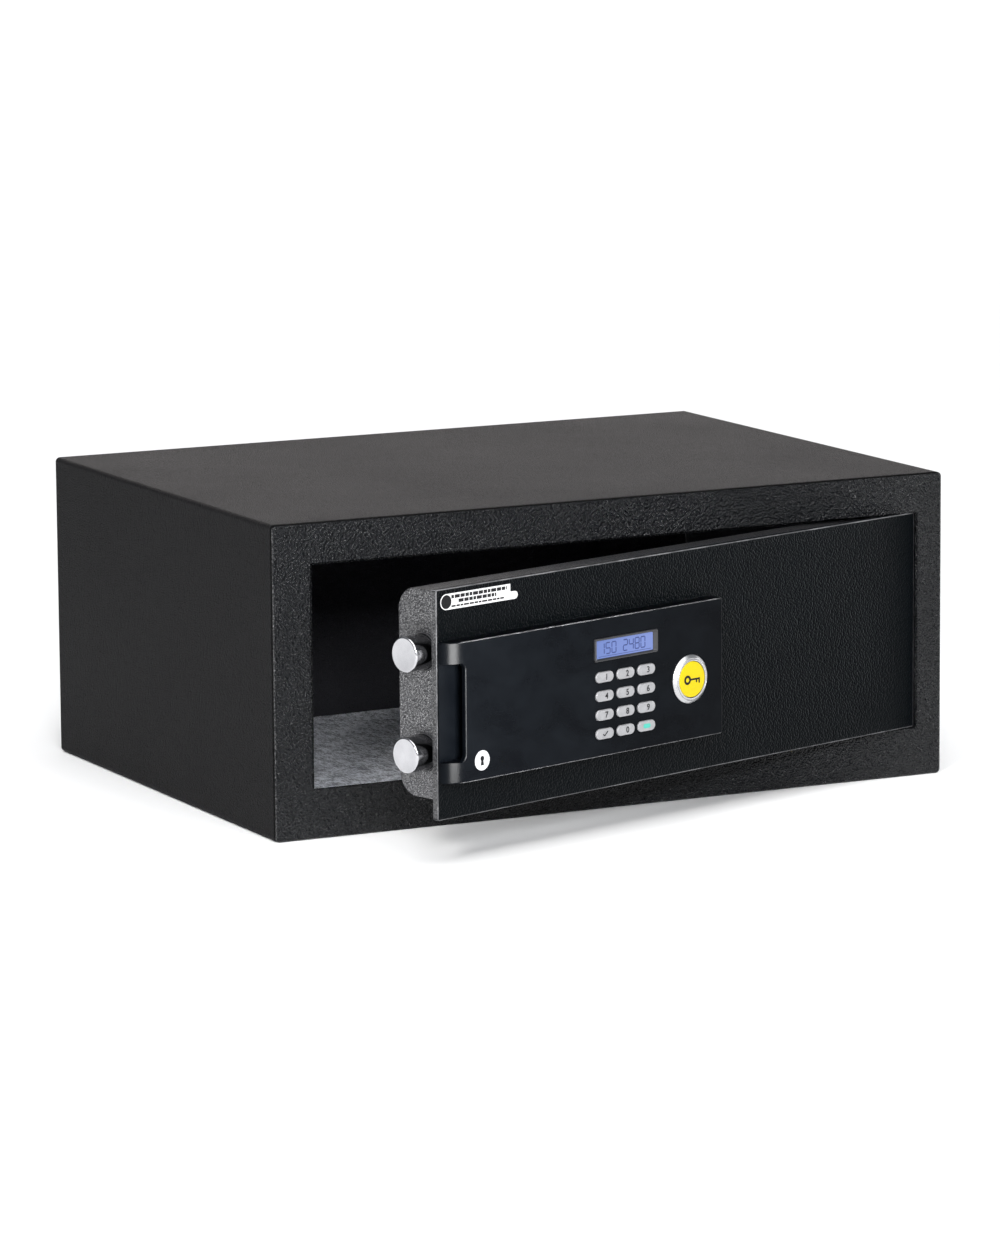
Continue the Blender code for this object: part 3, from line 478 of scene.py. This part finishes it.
# cell jackets: dark wrap with a copper band at one end (the band follows the height of each cell)
g = Graph("cell_jacket")
sp = g.t.nodes.new("ShaderNodeSeparateXYZ")
g.put(sp.inputs[0], g.tc)
band = g.math("GREATER_THAN", sp.outputs["Z"], 0.1165)
M["cell"] = g.done(g.mix(band, g.mix(g.noise(700.0), (0.020, 0.020, 0.023), (0.035, 0.035, 0.040)), (0.46, 0.22, 0.09)),
                   g.span(g.noise(90.0), 0.3, 0.7, 0.22, 0.36), 0.4, g.bump(g.noise(1200.0), 0.2, 0.00002))

# ---------------------------------------------------------------- cabinet
def ring_loops(axis, items):
    return [[place(axis, p, q, t) for p, q in lp] for lp, t in items]


S = 0.002
seam = 0.0003
y0, y1 = FRONT_BACK + seam, D2
r = 0.0006
outer = lambda i: rect(-W2 + i, W2 - i, i, H - i, 0.003 - i, 8)
inner = lambda i: rect(-W2 + S - i, W2 - S + i, S - i, H - S + i, 0.001 + i, 8)
items = []
for k in range(4):
    a = math.radians(30 * k)
    items.append((outer(r * (1 - math.sin(a))), y0 + r * (1 - math.cos(a))))
for k in range(4):
    a = math.radians(30 * k)
    items.append((outer(r * (1 - math.cos(a))), y1 - r * (1 - math.sin(a))))
items += [(inner(0.0), y1), (inner(0.0), y0)]
shell = loft(ring_loops("y", items), ring=True)
shell = combine(shell, [turned("z", (x, 0.020), ((0.005, -0.01), (0.005, 0.006)), 40) for x in (-0.15, 0.15)])
shell_o = piece("cabinet_wrap", shell, [M["shell"], M["inner"]], "cabinet", smooth=30)
# the inside faces take the lightened coat: painted fill light
for poly in shell_o.data.polygons:
    c = poly.center
    if abs(c.x) < 0.2385 and 0.0015 < c.z < 0.1985 and abs(poly.normal.y) < 0.5:
        poly.material_index = 1
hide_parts("body_shell")

r, rj = 0.0011, 0.0005
fo = lambda i: rect(-W2 + i, W2 - i, i, H - i, 0.003 - i, 8)
fi = lambda i: rect(OPEN_X[0] - i, OPEN_X[1] + i, OPEN_Z[0] - i, OPEN_Z[1] + i, 0.0008 + i, 8)
items = [(fo(0.0), FRONT_BACK)]
for k in range(6):
    a = math.radians(18 * k)
    items.append((fo(r * (1 - math.cos(a))), -D2 + r * (1 - math.sin(a))))
for k in range(5):
    a = math.radians(22.5 * k)
    items.append((fi(rj * (1 - math.sin(a))), -D2 + rj * (1 - math.cos(a))))
items.append((fi(0.0), FRONT_BACK))
front = piece("front_plate", loft(ring_loops("y", items), ring=True), [M["frame"], M["joint"]], "cabinet", smooth=30)
# the side walls and the upward-facing top bevel take the near-black coat: painted shade in the seam and on the top
# bevel
for poly in front.data.polygons:
    c, nn = poly.center, poly.normal
    if abs(nn.y) < 0.1 and (abs(c.x) > 0.236 or c.z > 0.196 or c.z < 0.004):
        poly.material_index = 1
    elif c.z > 0.196 and nn.z > 0.45:
        poly.material_index = 1
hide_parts("front_frame")

# felt mat with a soft rounded edge and slight waviness, cut round the anchor holes
mx, my0, my1, mz0, mz1 = 0.2367, -0.1710, 0.1717, 0.0023, 0.0090
bm = bmesh.new()
NXm, NYm = 96, 70
grid = {}
for i in range(NXm + 1):
    for j in range(NYm + 1):
        x = -mx + 2 * mx * i / NXm
        y = my0 + (my1 - my0) * j / NYm
        e = min(x + mx, mx - x, y - my0, my1 - y)
        edge = 0.0022 * max(0.0, 1 - e / 0.004) ** 2
        wave = 0.00035 * (math.sin(x * 61 + 1.3) * math.sin(y * 47 + 0.4) - 1)
        grid[i, j] = bm.verts.new((x, y, mz1 - edge + wave))
for i in range(NXm):
    for j in range(NYm):
        bm.faces.new((grid[i, j], grid[i + 1, j], grid[i + 1, j + 1], grid[i, j + 1]))
rim = [grid[i, 0] for i in range(NXm + 1)] + [grid[NXm, j] for j in range(1, NYm + 1)] + \
      [grid[i, NYm] for i in range(NXm - 1, -1, -1)] + [grid[0, j] for j in range(NYm - 1, 0, -1)]
low = [bm.verts.new((v.co.x, v.co.y, mz0)) for v in rim]
for k in range(len(rim)):
    j = (k + 1) % len(rim)
    bm.faces.new((rim[k], low[k], low[j], rim[j]))
bm.faces.new(low)
bmesh.ops.recalc_face_normals(bm, faces=bm.faces)
felt = bpy.data.meshes.new("felt")
bm.to_mesh(felt)
bm.free()
felt = combine(felt, [turned("z", (x, 0.020), ((0.008, 0.0), (0.008, 0.02)), 32) for x in (-0.15, 0.15)])
mat_o = piece("felt_mat", felt, M["felt"], "cabinet", smooth=60)
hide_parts("floor_mat")

# ------------------------------------------------------------------- door
r = 0.0006
pl = lambda i: rect(PLATE_X[0] + i, PLATE_X[1] - i, PLATE_Z[0] + i, PLATE_Z[1] - i, 0.0012 - i * 0.9, 5)
items = []
for k in range(4):
    a = math.radians(30 * k)
    items.append((pl(r * (1 - math.sin(a))), PLATE_Y[1] - r * (1 - math.cos(a))))
for k in range(4):
    a = math.radians(30 * k)
    items.append((pl(r * (1 - math.cos(a))), PLATE_Y[0] + r * (1 - math.sin(a))))
plate = loft(ring_loops("y", items))
plate = combine(plate, [turned("y", LOCK, ((0.0099, -0.02), (0.0099, 0.0)), 32)])
studs = [turned("y", s, ((0.0035, PLATE_Y[1] + 0.0001), (0.0035, 0.0292)), 24) for s in STUDS]
plate_o = piece("door_face", joined([plate] + studs), M["plate"], "door", at=DOOR, smooth=30)
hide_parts("door_plate")
plate_o.data.materials.append(M["pan"])      # the cut band of the free edge shows the coarser coat
for poly in plate_o.data.polygons:
    if poly.area > 1e-4 and (DOOR.inverted() @ poly.center).x < PLATE_X[0] + 0.0004:
        poly.material_index = 1


def pan_profile(d, y_front, seg=10):
    rr = PAN_R - d
    ya, z0, z1 = PAN_Y[1] - d, PAN_Z[0] + d, PAN_Z[1] - d
    pts = [(y_front, z0)]
    for i in range(seg + 1):
        a = math.radians(-90 + 90 * i / seg)
        pts.append((ya - rr + rr * math.cos(a), z0 + rr + rr * math.sin(a)))
    for i in range(seg + 1):
        a = math.radians(90 * i / seg)
        pts.append((ya - rr + rr * math.cos(a), z1 - rr + rr * math.sin(a)))
    pts.append((y_front, z1))
    return pts


r = 0.0016
items = []
for k in range(5):
    a = math.radians(22.5 * k)
    items.append((pan_profile(r * (1 - math.sin(a)), PAN_Y[0]), PAN_X[0] + r * (1 - math.cos(a))))
for k in range(5):
    a = math.radians(22.5 * k)
    items.append((pan_profile(r * (1 - math.cos(a)), PAN_Y[0]), PAN_X[1] - r * (1 - math.sin(a))))
pan = loft(ring_loops("x", items))
cuts = [prism(pan_profile(0.0015, PAN_Y[0] - 0.01), "x", PAN_X[0] + 0.0015, PAN_X[1] - 0.0015)]
cuts += [turned("x", (BOLT_Y, z), ((0.01205, PAN_X[0] - 0.01), (0.01205, PAN_X[0] + 0.01)), 48) for z in BOLT_Z]
cuts += [turned("y", s, ((0.0022, 0.026), (0.0022, 0.036)), 20) for s in STUDS]
cuts.append(prism(rect(BAY_X[0] - 0.0004, BAY_X[1] + 0.0004, BAY_Z[0] - 0.0004, BAY_Z[1] + 0.0004, 0.002, 5), "y", 0.026, 0.036))
cuts.append(turned("y", RESET, ((0.0043, 0.026), (0.0043, 0.036)), 32))
pan_o = piece("door_casing", combine(pan, cuts), M["pan"], "door", at=DOOR, smooth=30)
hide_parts("door_pan")

# bolts: turned bars with a rolled rim and a faintly dished end
for tag, z in (("upper", BOLT_Z[1]), ("lower", BOLT_Z[0])):
    x0 = BOLT_X[0]
    prof = [(0.0002, x0 + 0.00022), (0.0050, x0 + 0.00020), (0.0094, x0 + 0.00014), (0.0099, x0)]
    for k in range(1, 5):
        a = math.radians(22.5 * k)
        prof.append((0.0099 + 0.0011 * math.sin(a), x0 + 0.0011 * (1 - math.cos(a))))
    prof += [(0.0110, x0 + 0.0170), (0.0110, BOLT_X[1] - 0.001), (0.0100, BOLT_X[1])]
    rod = turned("x", (BOLT_Y, z), prof, 72)
    b = piece("bolt_bar_" + tag, rod, M["barrel"], "bolt_carriage", at=DOOR.copy(), smooth=40)
    # the shank keeps the darkened chrome (painted shade); the end faces take the bright chrome
    b.data.materials.append(M["chrome"])
    tip = (DOOR @ Vector((x0 + 0.0009, BOLT_Y, z)))
    ax = (DOOR.to_3x3() @ Vector((1, 0, 0)))
    for poly in b.data.polygons:
        if (poly.center - tip).dot(ax) < 0.0:
            poly.material_index = 1
    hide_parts("bolt_" + tag)
    c = [(0.0113, PAN_X[0] - 0.0010), (0.01175, PAN_X[0] - 0.0010), (0.0120, PAN_X[0] - 0.0007), (0.0120, PAN_X[0] + 0.0070),
         (0.0113, PAN_X[0] + 0.0070)]
    cb = piece("bolt_collar_" + tag, turned("x", (BOLT_Y, z), c, 64, bore=True), M["nylon"], "door", at=DOOR.copy(), smooth=40)
    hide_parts("bolt_bush_" + tag)

# ----------------------------------------------------------- control panel
def fascia_profile(d):
    pts = [(FX[0] + d, PLATE_Y[0] - 0.0002)]
    b = 0.010 - d
    for i in range(1, 19):
        a = math.radians(5 * i)
        pts.append((FX[0] + d + (NOSE - d) * (1 - math.cos(a)), PLATE_Y[0] - max(b * math.sin(a), 0.0004)))
    rr = 0.0015
    for i in range(6):
        a = math.radians(18 * i)
        pts.append((FX[1] - d - rr + rr * math.sin(a), FACE + d + rr - rr * math.cos(a)))
    pts.append((FX[1] - d, PLATE_Y[0] - 0.0002))
    return pts


e = 0.0009
items = []
for k in range(5):
    a = math.radians(22.5 * k)
    items.append((fascia_profile(e * (1 - math.sin(a))), FZ[0] + e * (1 - math.cos(a))))
for k in range(5):
    a = math.radians(22.5 * k)
    items.append((fascia_profile(e * (1 - math.cos(a))), FZ[1] - e * (1 - math.sin(a))))
body = loft(ring_loops("z", items))


def stadium(cx, cz, length, height, seg=8):
    rr = height / 2
    return rect(cx - length / 2, cx + length / 2, cz - rr, cz + rr, rr - 1e-6, seg)


WALL_Y = FACE + 0.0023


def flared(outline, depth, rr, steps=4):
    """Cutter whose mouth opens in a quarter round at the face; outline(grow) gives its outline."""
    lp = [(outline(rr), FACE - 0.004), (outline(rr), FACE)]
    for k in range(1, steps + 1):
        a = math.radians(90.0 * k / steps)
        lp.append((outline(rr * (1 - math.sin(a))), FACE + rr * (1 - math.cos(a))))
    lp.append((outline(0.0), depth))
    return loft(ring_loops("y", lp))


tools = [box((-0.392, FX[1] - 0.0023), (WALL_Y, PLATE_Y[0] + 0.01), (FZ[0] + 0.0023, FZ[1] - 0.0023))]
tools.append(flared(lambda g: rect(FX[0] - 0.02, RECESS_X + g, RECESS_Z[0] - g, RECESS_Z[1] + g, 0.0045 + g, 8), PLATE_Y[0] - 0.0010, 0.0011))
tools.append(prism(rect(RECESS_X - 0.006, RECESS_X + 0.013, RECESS_Z[0] + 0.0005, RECESS_Z[1] - 0.0005, 0.004, 6),
                   "y", FACE + 0.003, PLATE_Y[0] - 0.0011))
KEYS = (("key_1", 0, 0), ("key_2", 1, 0), ("key_3", 2, 0), ("key_4", 0, 1), ("key_5", 1, 1), ("key_6", 2, 1),
        ("key_7", 0, 2), ("key_8", 1, 2), ("key_9", 2, 2), ("key_enter", 0, 3), ("key_0", 1, 3), ("key_clear", 2, 3))
for _, i, j in KEYS:
    tools.append(flared(lambda g, i=i, j=j: stadium(KEY_X[i], KEY_Z[j], KEY_L + 0.0004 + 2 * g, KEY_H + 0.0004 + 2 * g), WALL_Y + 0.001, 0.00025, 2))
tools.append(flared(lambda g: rect(BEZ_X[0] - 0.0002 - g, BEZ_X[1] + 0.0002 + g, BEZ_Z[0] - 0.0002 - g, BEZ_Z[1] + 0.0002 + g, 0.0014 + g, 6),
                    WALL_Y + 0.001, 0.0002, 2))
tools.append(turned("y", LOCK, ((0.012, FACE - 0.004), (0.012, WALL_Y + 0.001)), 64))
fascia_o = piece("panel_shell", combine(body, tools), M["fascia"], "door", at=DOOR.copy(), smooth=28)
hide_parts("fascia")

# display frame: outer round, inner slope down to the recessed window
o = lambda i: rect(BEZ_X[0] + i, BEZ_X[1] - i, BEZ_Z[0] + i, BEZ_Z[1] - i, 0.0014 - i * 0.5, 6)
n_ = lambda i: rect(LCD_X[0] - i, LCD_X[1] + i, LCD_Z[0] - i, LCD_Z[1] + i, 0.0007 + i * 0.5, 6)
items = [(o(0.0), WALL_Y - 0.0002), (o(0.0), FACE - 0.0003), (o(0.00012), FACE - 0.0006), (o(0.0004), FACE - 0.0007),
         (o(0.0009), FACE - 0.0007), (o(0.0012), FACE - 0.0005), (n_(0.0007), FACE + 0.0001), (n_(0.0), FACE + 0.0006), (n_(0.0), WALL_Y - 0.0002)]
bz = piece("display_frame", loft(ring_loops("y", items), ring=True), M["bezel"], "door", at=DOOR.copy(), smooth=40)
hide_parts("display_bezel")
win = piece("display_glass", prism(rect(LCD_X[0] + 0.0002, LCD_X[1] - 0.0002, LCD_Z[0] + 0.0002, LCD_Z[1] - 0.0002, 0.0005, 4), "y", FACE + 0.0008, FACE + 0.0020),
            M["lcd"], "door", at=DOOR.copy())
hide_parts("display_window")


# seven-segment figures on the display, generic digits only
SEG = {"0": "abcdef", "1": "bc", "2": "abged", "3": "abgcd", "4": "fgbc", "5": "afgcd", "6": "afgedc", "7": "abc", "8": "abcdefg", "9": "abcdfg"}


def bar(x0, z0, x1, z1, w, y, t):
    dx, dz = x1 - x0, z1 - z0
    ln = math.hypot(dx, dz)
    ux, uz = dx / ln, dz / ln
    px, pz = -uz * w / 2, ux * w / 2
    e0, e1 = w * 0.5, ln - w * 0.5
    pts = [(x0 + ux * 0.0001, z0 + uz * 0.0001), (x0 + ux * e0 + px, z0 + uz * e0 + pz), (x0 + ux * e1 + px, z0 + uz * e1 + pz),
           (x1 - ux * 0.0001, z1 - uz * 0.0001), (x0 + ux * e1 - px, z0 + uz * e1 - pz), (x0 + ux * e0 - px, z0 + uz * e0 - pz)]
    return prism(pts, "y", y - t, y)


figs = []
fw, fh, fwt = 0.0036, 0.0068, 0.00075
xs = [LCD_X[0] + 0.0031 + 0.0052 * k for k in range(3)] + [LCD_X[0] + 0.0236 + 0.0052 * k for k in range(4)]
for ch, x0 in zip("1502480", xs):
    z0 = sum(LCD_Z) / 2 - fh / 2 + 0.0004
    P = {"a": (x0, z0 + fh, x0 + fw, z0 + fh), "g": (x0, z0 + fh / 2, x0 + fw, z0 + fh / 2), "d": (x0, z0, x0 + fw, z0),
         "f": (x0, z0 + fh / 2, x0, z0 + fh), "b": (x0 + fw, z0 + fh / 2, x0 + fw, z0 + fh),
         "e": (x0, z0, x0, z0 + fh / 2), "c": (x0 + fw, z0, x0 + fw, z0 + fh / 2)}
    for s in SEG[ch]:
        figs.append(bar(*P[s], fwt, FACE + 0.00078, 0.00003))
figs.append(bar(LCD_X[0] + 0.0016, LCD_Z[0] + 0.0013, LCD_X[1] - 0.0016, LCD_Z[0] + 0.0013, 0.0003, FACE + 0.00078, 0.00003))
piece("display_figures", joined(figs), M["ink"], "door", at=DOOR.copy(), smooth=0)


# ------------------------------------------------------------------- keys
def glyph(text, size, axis_mat, thick=0.00004):
    """Mesh of a numeral from Blender's own font, centred, in the x-z plane facing -y."""
    cu = bpy.data.curves.new("g", "FONT")
    cu.body, cu.size = text, size
    cu.align_x, cu.align_y = "CENTER", "CENTER"
    cu.extrude = thick / 2
    cu.offset = size * 0.018
    ob = bpy.data.objects.new("g", cu)
    scene.collection.objects.link(ob)
    bpy.context.view_layer.update()
    me = bpy.data.meshes.new_from_object(ob.evaluated_get(bpy.context.evaluated_depsgraph_get()))
    bpy.data.objects.remove(ob, do_unlink=True)
    xs = [v.co.x for v in me.vertices]
    ys = [v.co.y for v in me.vertices]
    me.transform(Matrix.Translation((-(min(xs) + max(xs)) / 2, -(min(ys) + max(ys)) / 2, 0)))
    me.transform(axis_mat @ Matrix.Rotation(math.radians(90), 4, "X"))
    return me


for name, i, j in KEYS:
    kx, kz = KEY_X[i], KEY_Z[j]
    lp = [(stadium(kx, kz, KEY_L + 0.0018, KEY_H + 0.0018), WALL_Y + 0.0010), (stadium(kx, kz, KEY_L + 0.0018, KEY_H + 0.0018), WALL_Y + 0.0003),
          (stadium(kx, kz, KEY_L, KEY_H), WALL_Y + 0.0003), (stadium(kx, kz, KEY_L, KEY_H), FACE - 0.0003)]
    rr = 0.0006
    for k in range(1, 5):
        a = math.radians(22.5 * k)
        s = rr * (1 - math.cos(a)) * 2
        lp.append((stadium(kx, kz, KEY_L - s, KEY_H - s), FACE - 0.0003 - rr * math.sin(a)))
    lp += [(stadium(kx, kz, KEY_L - 0.0022, KEY_H - 0.0022), FACE - 0.00088), (stadium(kx, kz, KEY_L - 0.0040, KEY_H - 0.0040), FACE - 0.00080)]
    k_o = piece("cap_" + name[4:], loft(ring_loops("y", lp)), M["key"], "button_" + name[4:], at=DOOR.copy(), smooth=40)
    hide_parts(name)
    top = FACE - 0.00089
    sign = Matrix.Translation((kx + (0.0013 if name[4:].isdigit() else 0.0), top, kz))
    if name[4:].isdigit():
        me = glyph(name[4:], 0.0054, sign)
        ink = M["print_black"]
    elif name == "key_enter":       # a tick between two short bars
        me = joined([bar(kx - 0.0022, kz + 0.0001, kx - 0.0006, kz - 0.0014, 0.0007, top, 0.00004),
                     bar(kx - 0.0009, kz - 0.0014, kx + 0.0024, kz + 0.0016, 0.0007, top, 0.00004)])
        ink = M["print_black"]
    else:                           # a teal cross on a teal bar: cancel
        me = joined([prism(rect(kx - 0.0031, kx + 0.0031, kz - 0.0014, kz + 0.0014, 0.0012, 5), "y", top - 0.00004, top)])
        ink = M["print_teal"]
    piece("mark_" + name[4:], me, ink, "button_" + name[4:], at=DOOR.copy(), smooth=0)

# ------------------------------------------------------ key override cover
f = FACE
prof = [(0.0118, f - 0.0002), (0.0155, f - 0.0002), (0.0155, f - 0.0006), (0.01535, f - 0.0009), (0.0150, f - 0.0012), (0.01375, f - 0.0023),
        (0.0135, f - 0.00245), (0.01325, f - 0.0024), (0.0131, f - 0.0021), (0.01295, f - 0.0021), (0.0128, f - 0.0024),
        (0.01265, f - 0.0025), (0.0120, f - 0.0026), (0.0118, f - 0.0025)]
ring_o = piece("badge_bezel", turned("y", LOCK, prof, 96, bore=True), M["ring"], "door", at=DOOR.copy(), smooth=40)
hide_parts("badge_ring")
prof = [(0.01145, f + 0.0004), (0.01145, f - 0.0022), (0.0113, f - 0.0025), (0.0110, f - 0.00265), (0.0080, f - 0.00275), (0.0040, f - 0.00282), (0.0004, f - 0.00285)]
cap_o = piece("lock_cover", turned("y", LOCK, prof, 96), M["yellow"], "override_cover", at=DOOR.copy(), smooth=40)
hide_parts("override_cap")
# generic key pictogram: bow, shaft and two bits
y = f - 0.00284
lx, lz = LOCK
bow = turned("y", (lx - 0.0045, lz), ((0.00145, y), (0.0030, y), (0.0030, y - 0.00005), (0.00145, y - 0.00005)), 40, bore=True)
parts = [bow, prism(rect(lx - 0.0017, lx + 0.0066, lz - 0.0006, lz + 0.0006, 0.0002, 2), "y", y - 0.00005, y),
         prism(rect(lx + 0.0054, lx + 0.0066, lz - 0.0028, lz - 0.0005, 0.0001, 2), "y", y - 0.00005, y),
         prism(rect(lx + 0.0030, lx + 0.0041, lz - 0.0023, lz - 0.0005, 0.0001, 2), "y", y - 0.00005, y)]
piece("cover_pictogram", joined(parts), M["print_black"], "override_cover", at=DOOR.copy(), smooth=0)

# small round mark low on the panel: plain white disc with a keyhole
cx, cz = -0.3954, 0.0672
y = f - 0.00002
disc = turned("y", (cx, cz), ((0.0062, y), (0.0062, y - 0.00004)), 64)
piece("panel_dot", disc, M["white"], "door", at=DOOR.copy(), smooth=0)
hole_ = [turned("y", (cx, cz + 0.0012), ((0.0016, y - 0.00005), (0.0016, y - 0.00009)), 32),
         prism([(cx - 0.0008, cz + 0.0006), (cx + 0.0008, cz + 0.0006), (cx + 0.0014, cz - 0.0031), (cx - 0.0014, cz - 0.0031)], "y", y - 0.00009, y - 0.00005)]
piece("panel_dot_keyhole", joined(hole_), M["print_black"], "door", at=DOOR.copy(), smooth=0)

# ----------------------------------------------------- label on the plate
L0, L1, LT = PLATE_X[0] + 0.0034, PLATE_X[0] + 0.0625, PLATE_X[0] + 0.0688
z0, z1 = PLATE_Z[0] + 0.1290, PLATE_Z[0] + 0.1387
rr = (z1 - z0) / 2
pts = [(L0 + rr - rr * math.sin(math.radians(9 * i)), (z0 + z1) / 2 + rr * math.cos(math.radians(9 * i))) for i in range(21)]
tz = z0 + 0.0024
pts += [(LT - 0.0024 + 0.0024 * math.sin(math.radians(18 * i)), tz - 0.0024 * math.cos(math.radians(18 * i))) for i in range(11)]
pts += [(L1, tz + 0.0024), (L1, z1)]
yl = PLATE_Y[0]
lab = piece("door_label", prism(pts, "y", yl - 0.00035, yl - 0.0001), M["paper"], "door", at=DOOR.copy(), smooth=0)
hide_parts("warning_label")
ink = [turned("y", (L0 + rr, (z0 + z1) / 2), ((0.0043, yl - 0.00036), (0.0043, yl - 0.0004)), 48)]
y = yl - 0.00036
for row, (a, b, w) in enumerate(((0.0125, 0.0595, 0.00105), (0.0185, 0.0505, 0.00105), (0.0125, 0.0570, 0.00055))):
    zz = z1 - 0.0021 - 0.0029 * row
    x, k = PLATE_X[0] + a, 0
    while x < PLATE_X[0] + b:        # blank dashes stand where lines of print would be
        ln = 0.0022 + 0.0021 * ((k * 7 + row * 3) % 4) / 3
        ink.append(prism(rect(x, min(x + ln, PLATE_X[0] + b), zz - w, zz + w, 0.0001, 2), "y", y - 0.00004, y))
        x += ln + 0.0006
        k += 1
piece("door_label_dashes", joined(ink), M["print_black"], "door", at=DOOR.copy(), smooth=0)

# ------------------------------------------------------- back of the door
bx, bz_ = BAY_X, BAY_Z
cov = prism(rect(bx[0], bx[1], bz_[0], bz_[1], 0.0018, 6), "y", 0.0282, 0.0316)
mxx = sum(bx) / 2
tl = [prism(rect(mxx - 0.008, mxx + 0.008, bz_[1] - 0.006, bz_[1] - 0.003, 0.0012, 5), "y", 0.0302, 0.04)]
for k in range(5):
    tl.append(prism(rect(mxx - 0.012, mxx + 0.012, bz_[0] + 0.006 + k * 0.0028, bz_[0] + 0.0072 + k * 0.0028, 0.0005, 3), "y", 0.0311, 0.04))
cov_o = piece("battery_door", combine(cov, tl), M["tray"], "battery_lid", at=DOOR.copy(), bevel=0.0002, seg=2)
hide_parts("battery_cover")
for i, (sx, sz) in enumerate(STUDS):
    yb = 0.0310
    head = [(0.0019, yb - 0.0100), (0.0019, yb + 0.0002), (0.0040, yb + 0.0002), (0.0040, yb + 0.0009)]
    for k in range(1, 6):
        a = math.radians(16 * k)
        head.append((0.0040 * math.cos(a), yb + 0.0009 + 0.0013 * math.sin(a)))
    sc_ = turned("y", (sx, sz), head, 40)
    w, ln = 0.00035, 0.0021
    cross = [prism(rect(sx - ln, sx + ln, sz - w, sz + w), "y", yb + 0.0010, yb + 0.004), prism(rect(sx - w, sx + w, sz - ln, sz + ln), "y", yb + 0.0010, yb + 0.004)]
    so = piece("casing_screw_%d" % (i + 1), combine(sc_, cross), M["zinc"], "door", at=DOOR.copy(), smooth=40)
    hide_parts("pan_screw_%d" % (i + 1))

# ------------------------------------- CAD nodes that keep their own shape
# the back panel takes the lightened back coat: painted fill light
KEEP = {
    "back_panel": "back", "stop_strip_left": "frame", "stop_strip_top": "frame", "hinge_bracket_top": "blackened",
    "hinge_bracket_bottom": "blackened", "hinge_bush_top": "brass", "hinge_bush_bottom": "brass", "hinge_block_top": "blackened",
    "hinge_block_bottom": "blackened", "hinge_pin_top": "zinc", "hinge_pin_bottom": "zinc", "display_module": "module",
    "keypad_membrane": "silicone", "circuit_board": "board", "lock_cylinder": "brass", "key_plug": "brass", "cylinder_nut": "zinc",
    "override_cam": "zinc", "bolt_bar": "zinc", "drive_motor": "motor", "drive_pinion": "acetal", "battery_tray": "tray",
    "reset_button": "red", "battery_1": "cell", "battery_2": "cell", "battery_3": "cell", "battery_4": "cell",
}
for n, m in KEEP.items():
    me = NODES[n].data
    me.materials.clear()
    me.materials.append(M[m])

# ------------------------------------------------------- stage and lights
def stage_plane(name, size, z, colour):
    g = Graph(name)
    n = g.noise(3.0, 2.0, 0.5)
    m = g.done(g.mix(n, colour, [c * 0.985 for c in colour]), 0.85, 0.0, None, Specular_IOR_Level=0.1)
    me = mesh_of([(-size, -size, z), (size, -size, z), (size, size, z), (-size, size, z)], [(0, 1, 2, 3)])
    ob = bpy.data.objects.new(name, me)
    me.materials.append(m)
    scene.collection.objects.link(ob)
    return ob


stage_plane("floor", 30.0, -0.0002, (0.90, 0.90, 0.90))

world = bpy.data.worlds.new("world")
scene.world = world
world.use_nodes = True
wbg = world.node_tree.nodes["Background"]
wbg.inputs[0].default_value = (0.90, 0.95, 1.0, 1)
wbg.inputs[1].default_value = 0.22


def softbox(name, at, to, size, power, colour=(1, 1, 1)):
    li = bpy.data.lights.new(name, "AREA")
    li.shape = "RECTANGLE"
    li.size, li.size_y = size
    li.energy = power
    li.color = colour
    ob = bpy.data.objects.new(name, li)
    scene.collection.objects.link(ob)
    ob.location = at
    ob.visible_camera = False
    ob.rotation_euler = (Vector(to) - Vector(at)).to_track_quat("-Z", "Y").to_euler()
    return ob


sun = bpy.data.lights.new("overhead", "SUN")
sun.energy, sun.angle = 2.8, math.radians(70)
so = bpy.data.objects.new("overhead", sun)
scene.collection.objects.link(so)
so.rotation_euler = Vector((0.12, 0.38, -0.92)).to_track_quat("-Z", "Y").to_euler()

def only(lamp, *receivers):
    """The lamp lights these pieces alone."""
    group = bpy.data.collections.new("lit_by_" + lamp.name)
    for ob in receivers:
        group.objects.link(ob)
    lamp.light_linking.receiver_collection = group


only(softbox("nose_strip", (-0.150, -0.626, 0.115), (-0.185, -0.31, 0.10), (0.24, 0.28), 24.0), fascia_o)
only(softbox("flange_card", (-0.70, -0.02, 0.16), (-0.20, -0.29, 0.10), (0.50, 0.34), 3.6), pan_o, plate_o)
only(softbox("flange_low", (-0.43, -0.38, 0.022), (-0.21, -0.27, 0.058), (0.30, 0.035), 1.9), pan_o)
only(softbox("grain_key", (-0.32, -1.0, 0.34), (-0.215, -0.175, 0.10), (0.09, 0.09), 11.0), front)
softbox("front_soft", (0.25, -1.7, 0.55), (-0.05, -0.25, 0.10), (0.8, 0.6), 7.0)
softbox("key_left", (-0.95, -1.15, 0.70), (-0.15, -0.17, 0.10), (0.17, 0.17), 9.5, (1.0, 0.985, 0.97))
softbox("mat_fill", (-1.09, -2.54, 1.00), (-0.2, -0.12, 0.02), (0.5, 0.4), 44.0, (0.97, 0.98, 1.0))
softbox("edge_right", (1.45, -0.05, 0.32), (0.05, -0.2, 0.10), (0.2, 0.6), 4.0)
softbox("back_low", (3.9, 7.8, 2.2), (0, 0, 0.2), (8.8, 2.9), 170.0, (1.0, 0.94, 0.92))

scene.view_settings.view_transform = "Standard"
scene.view_settings.look = "None"

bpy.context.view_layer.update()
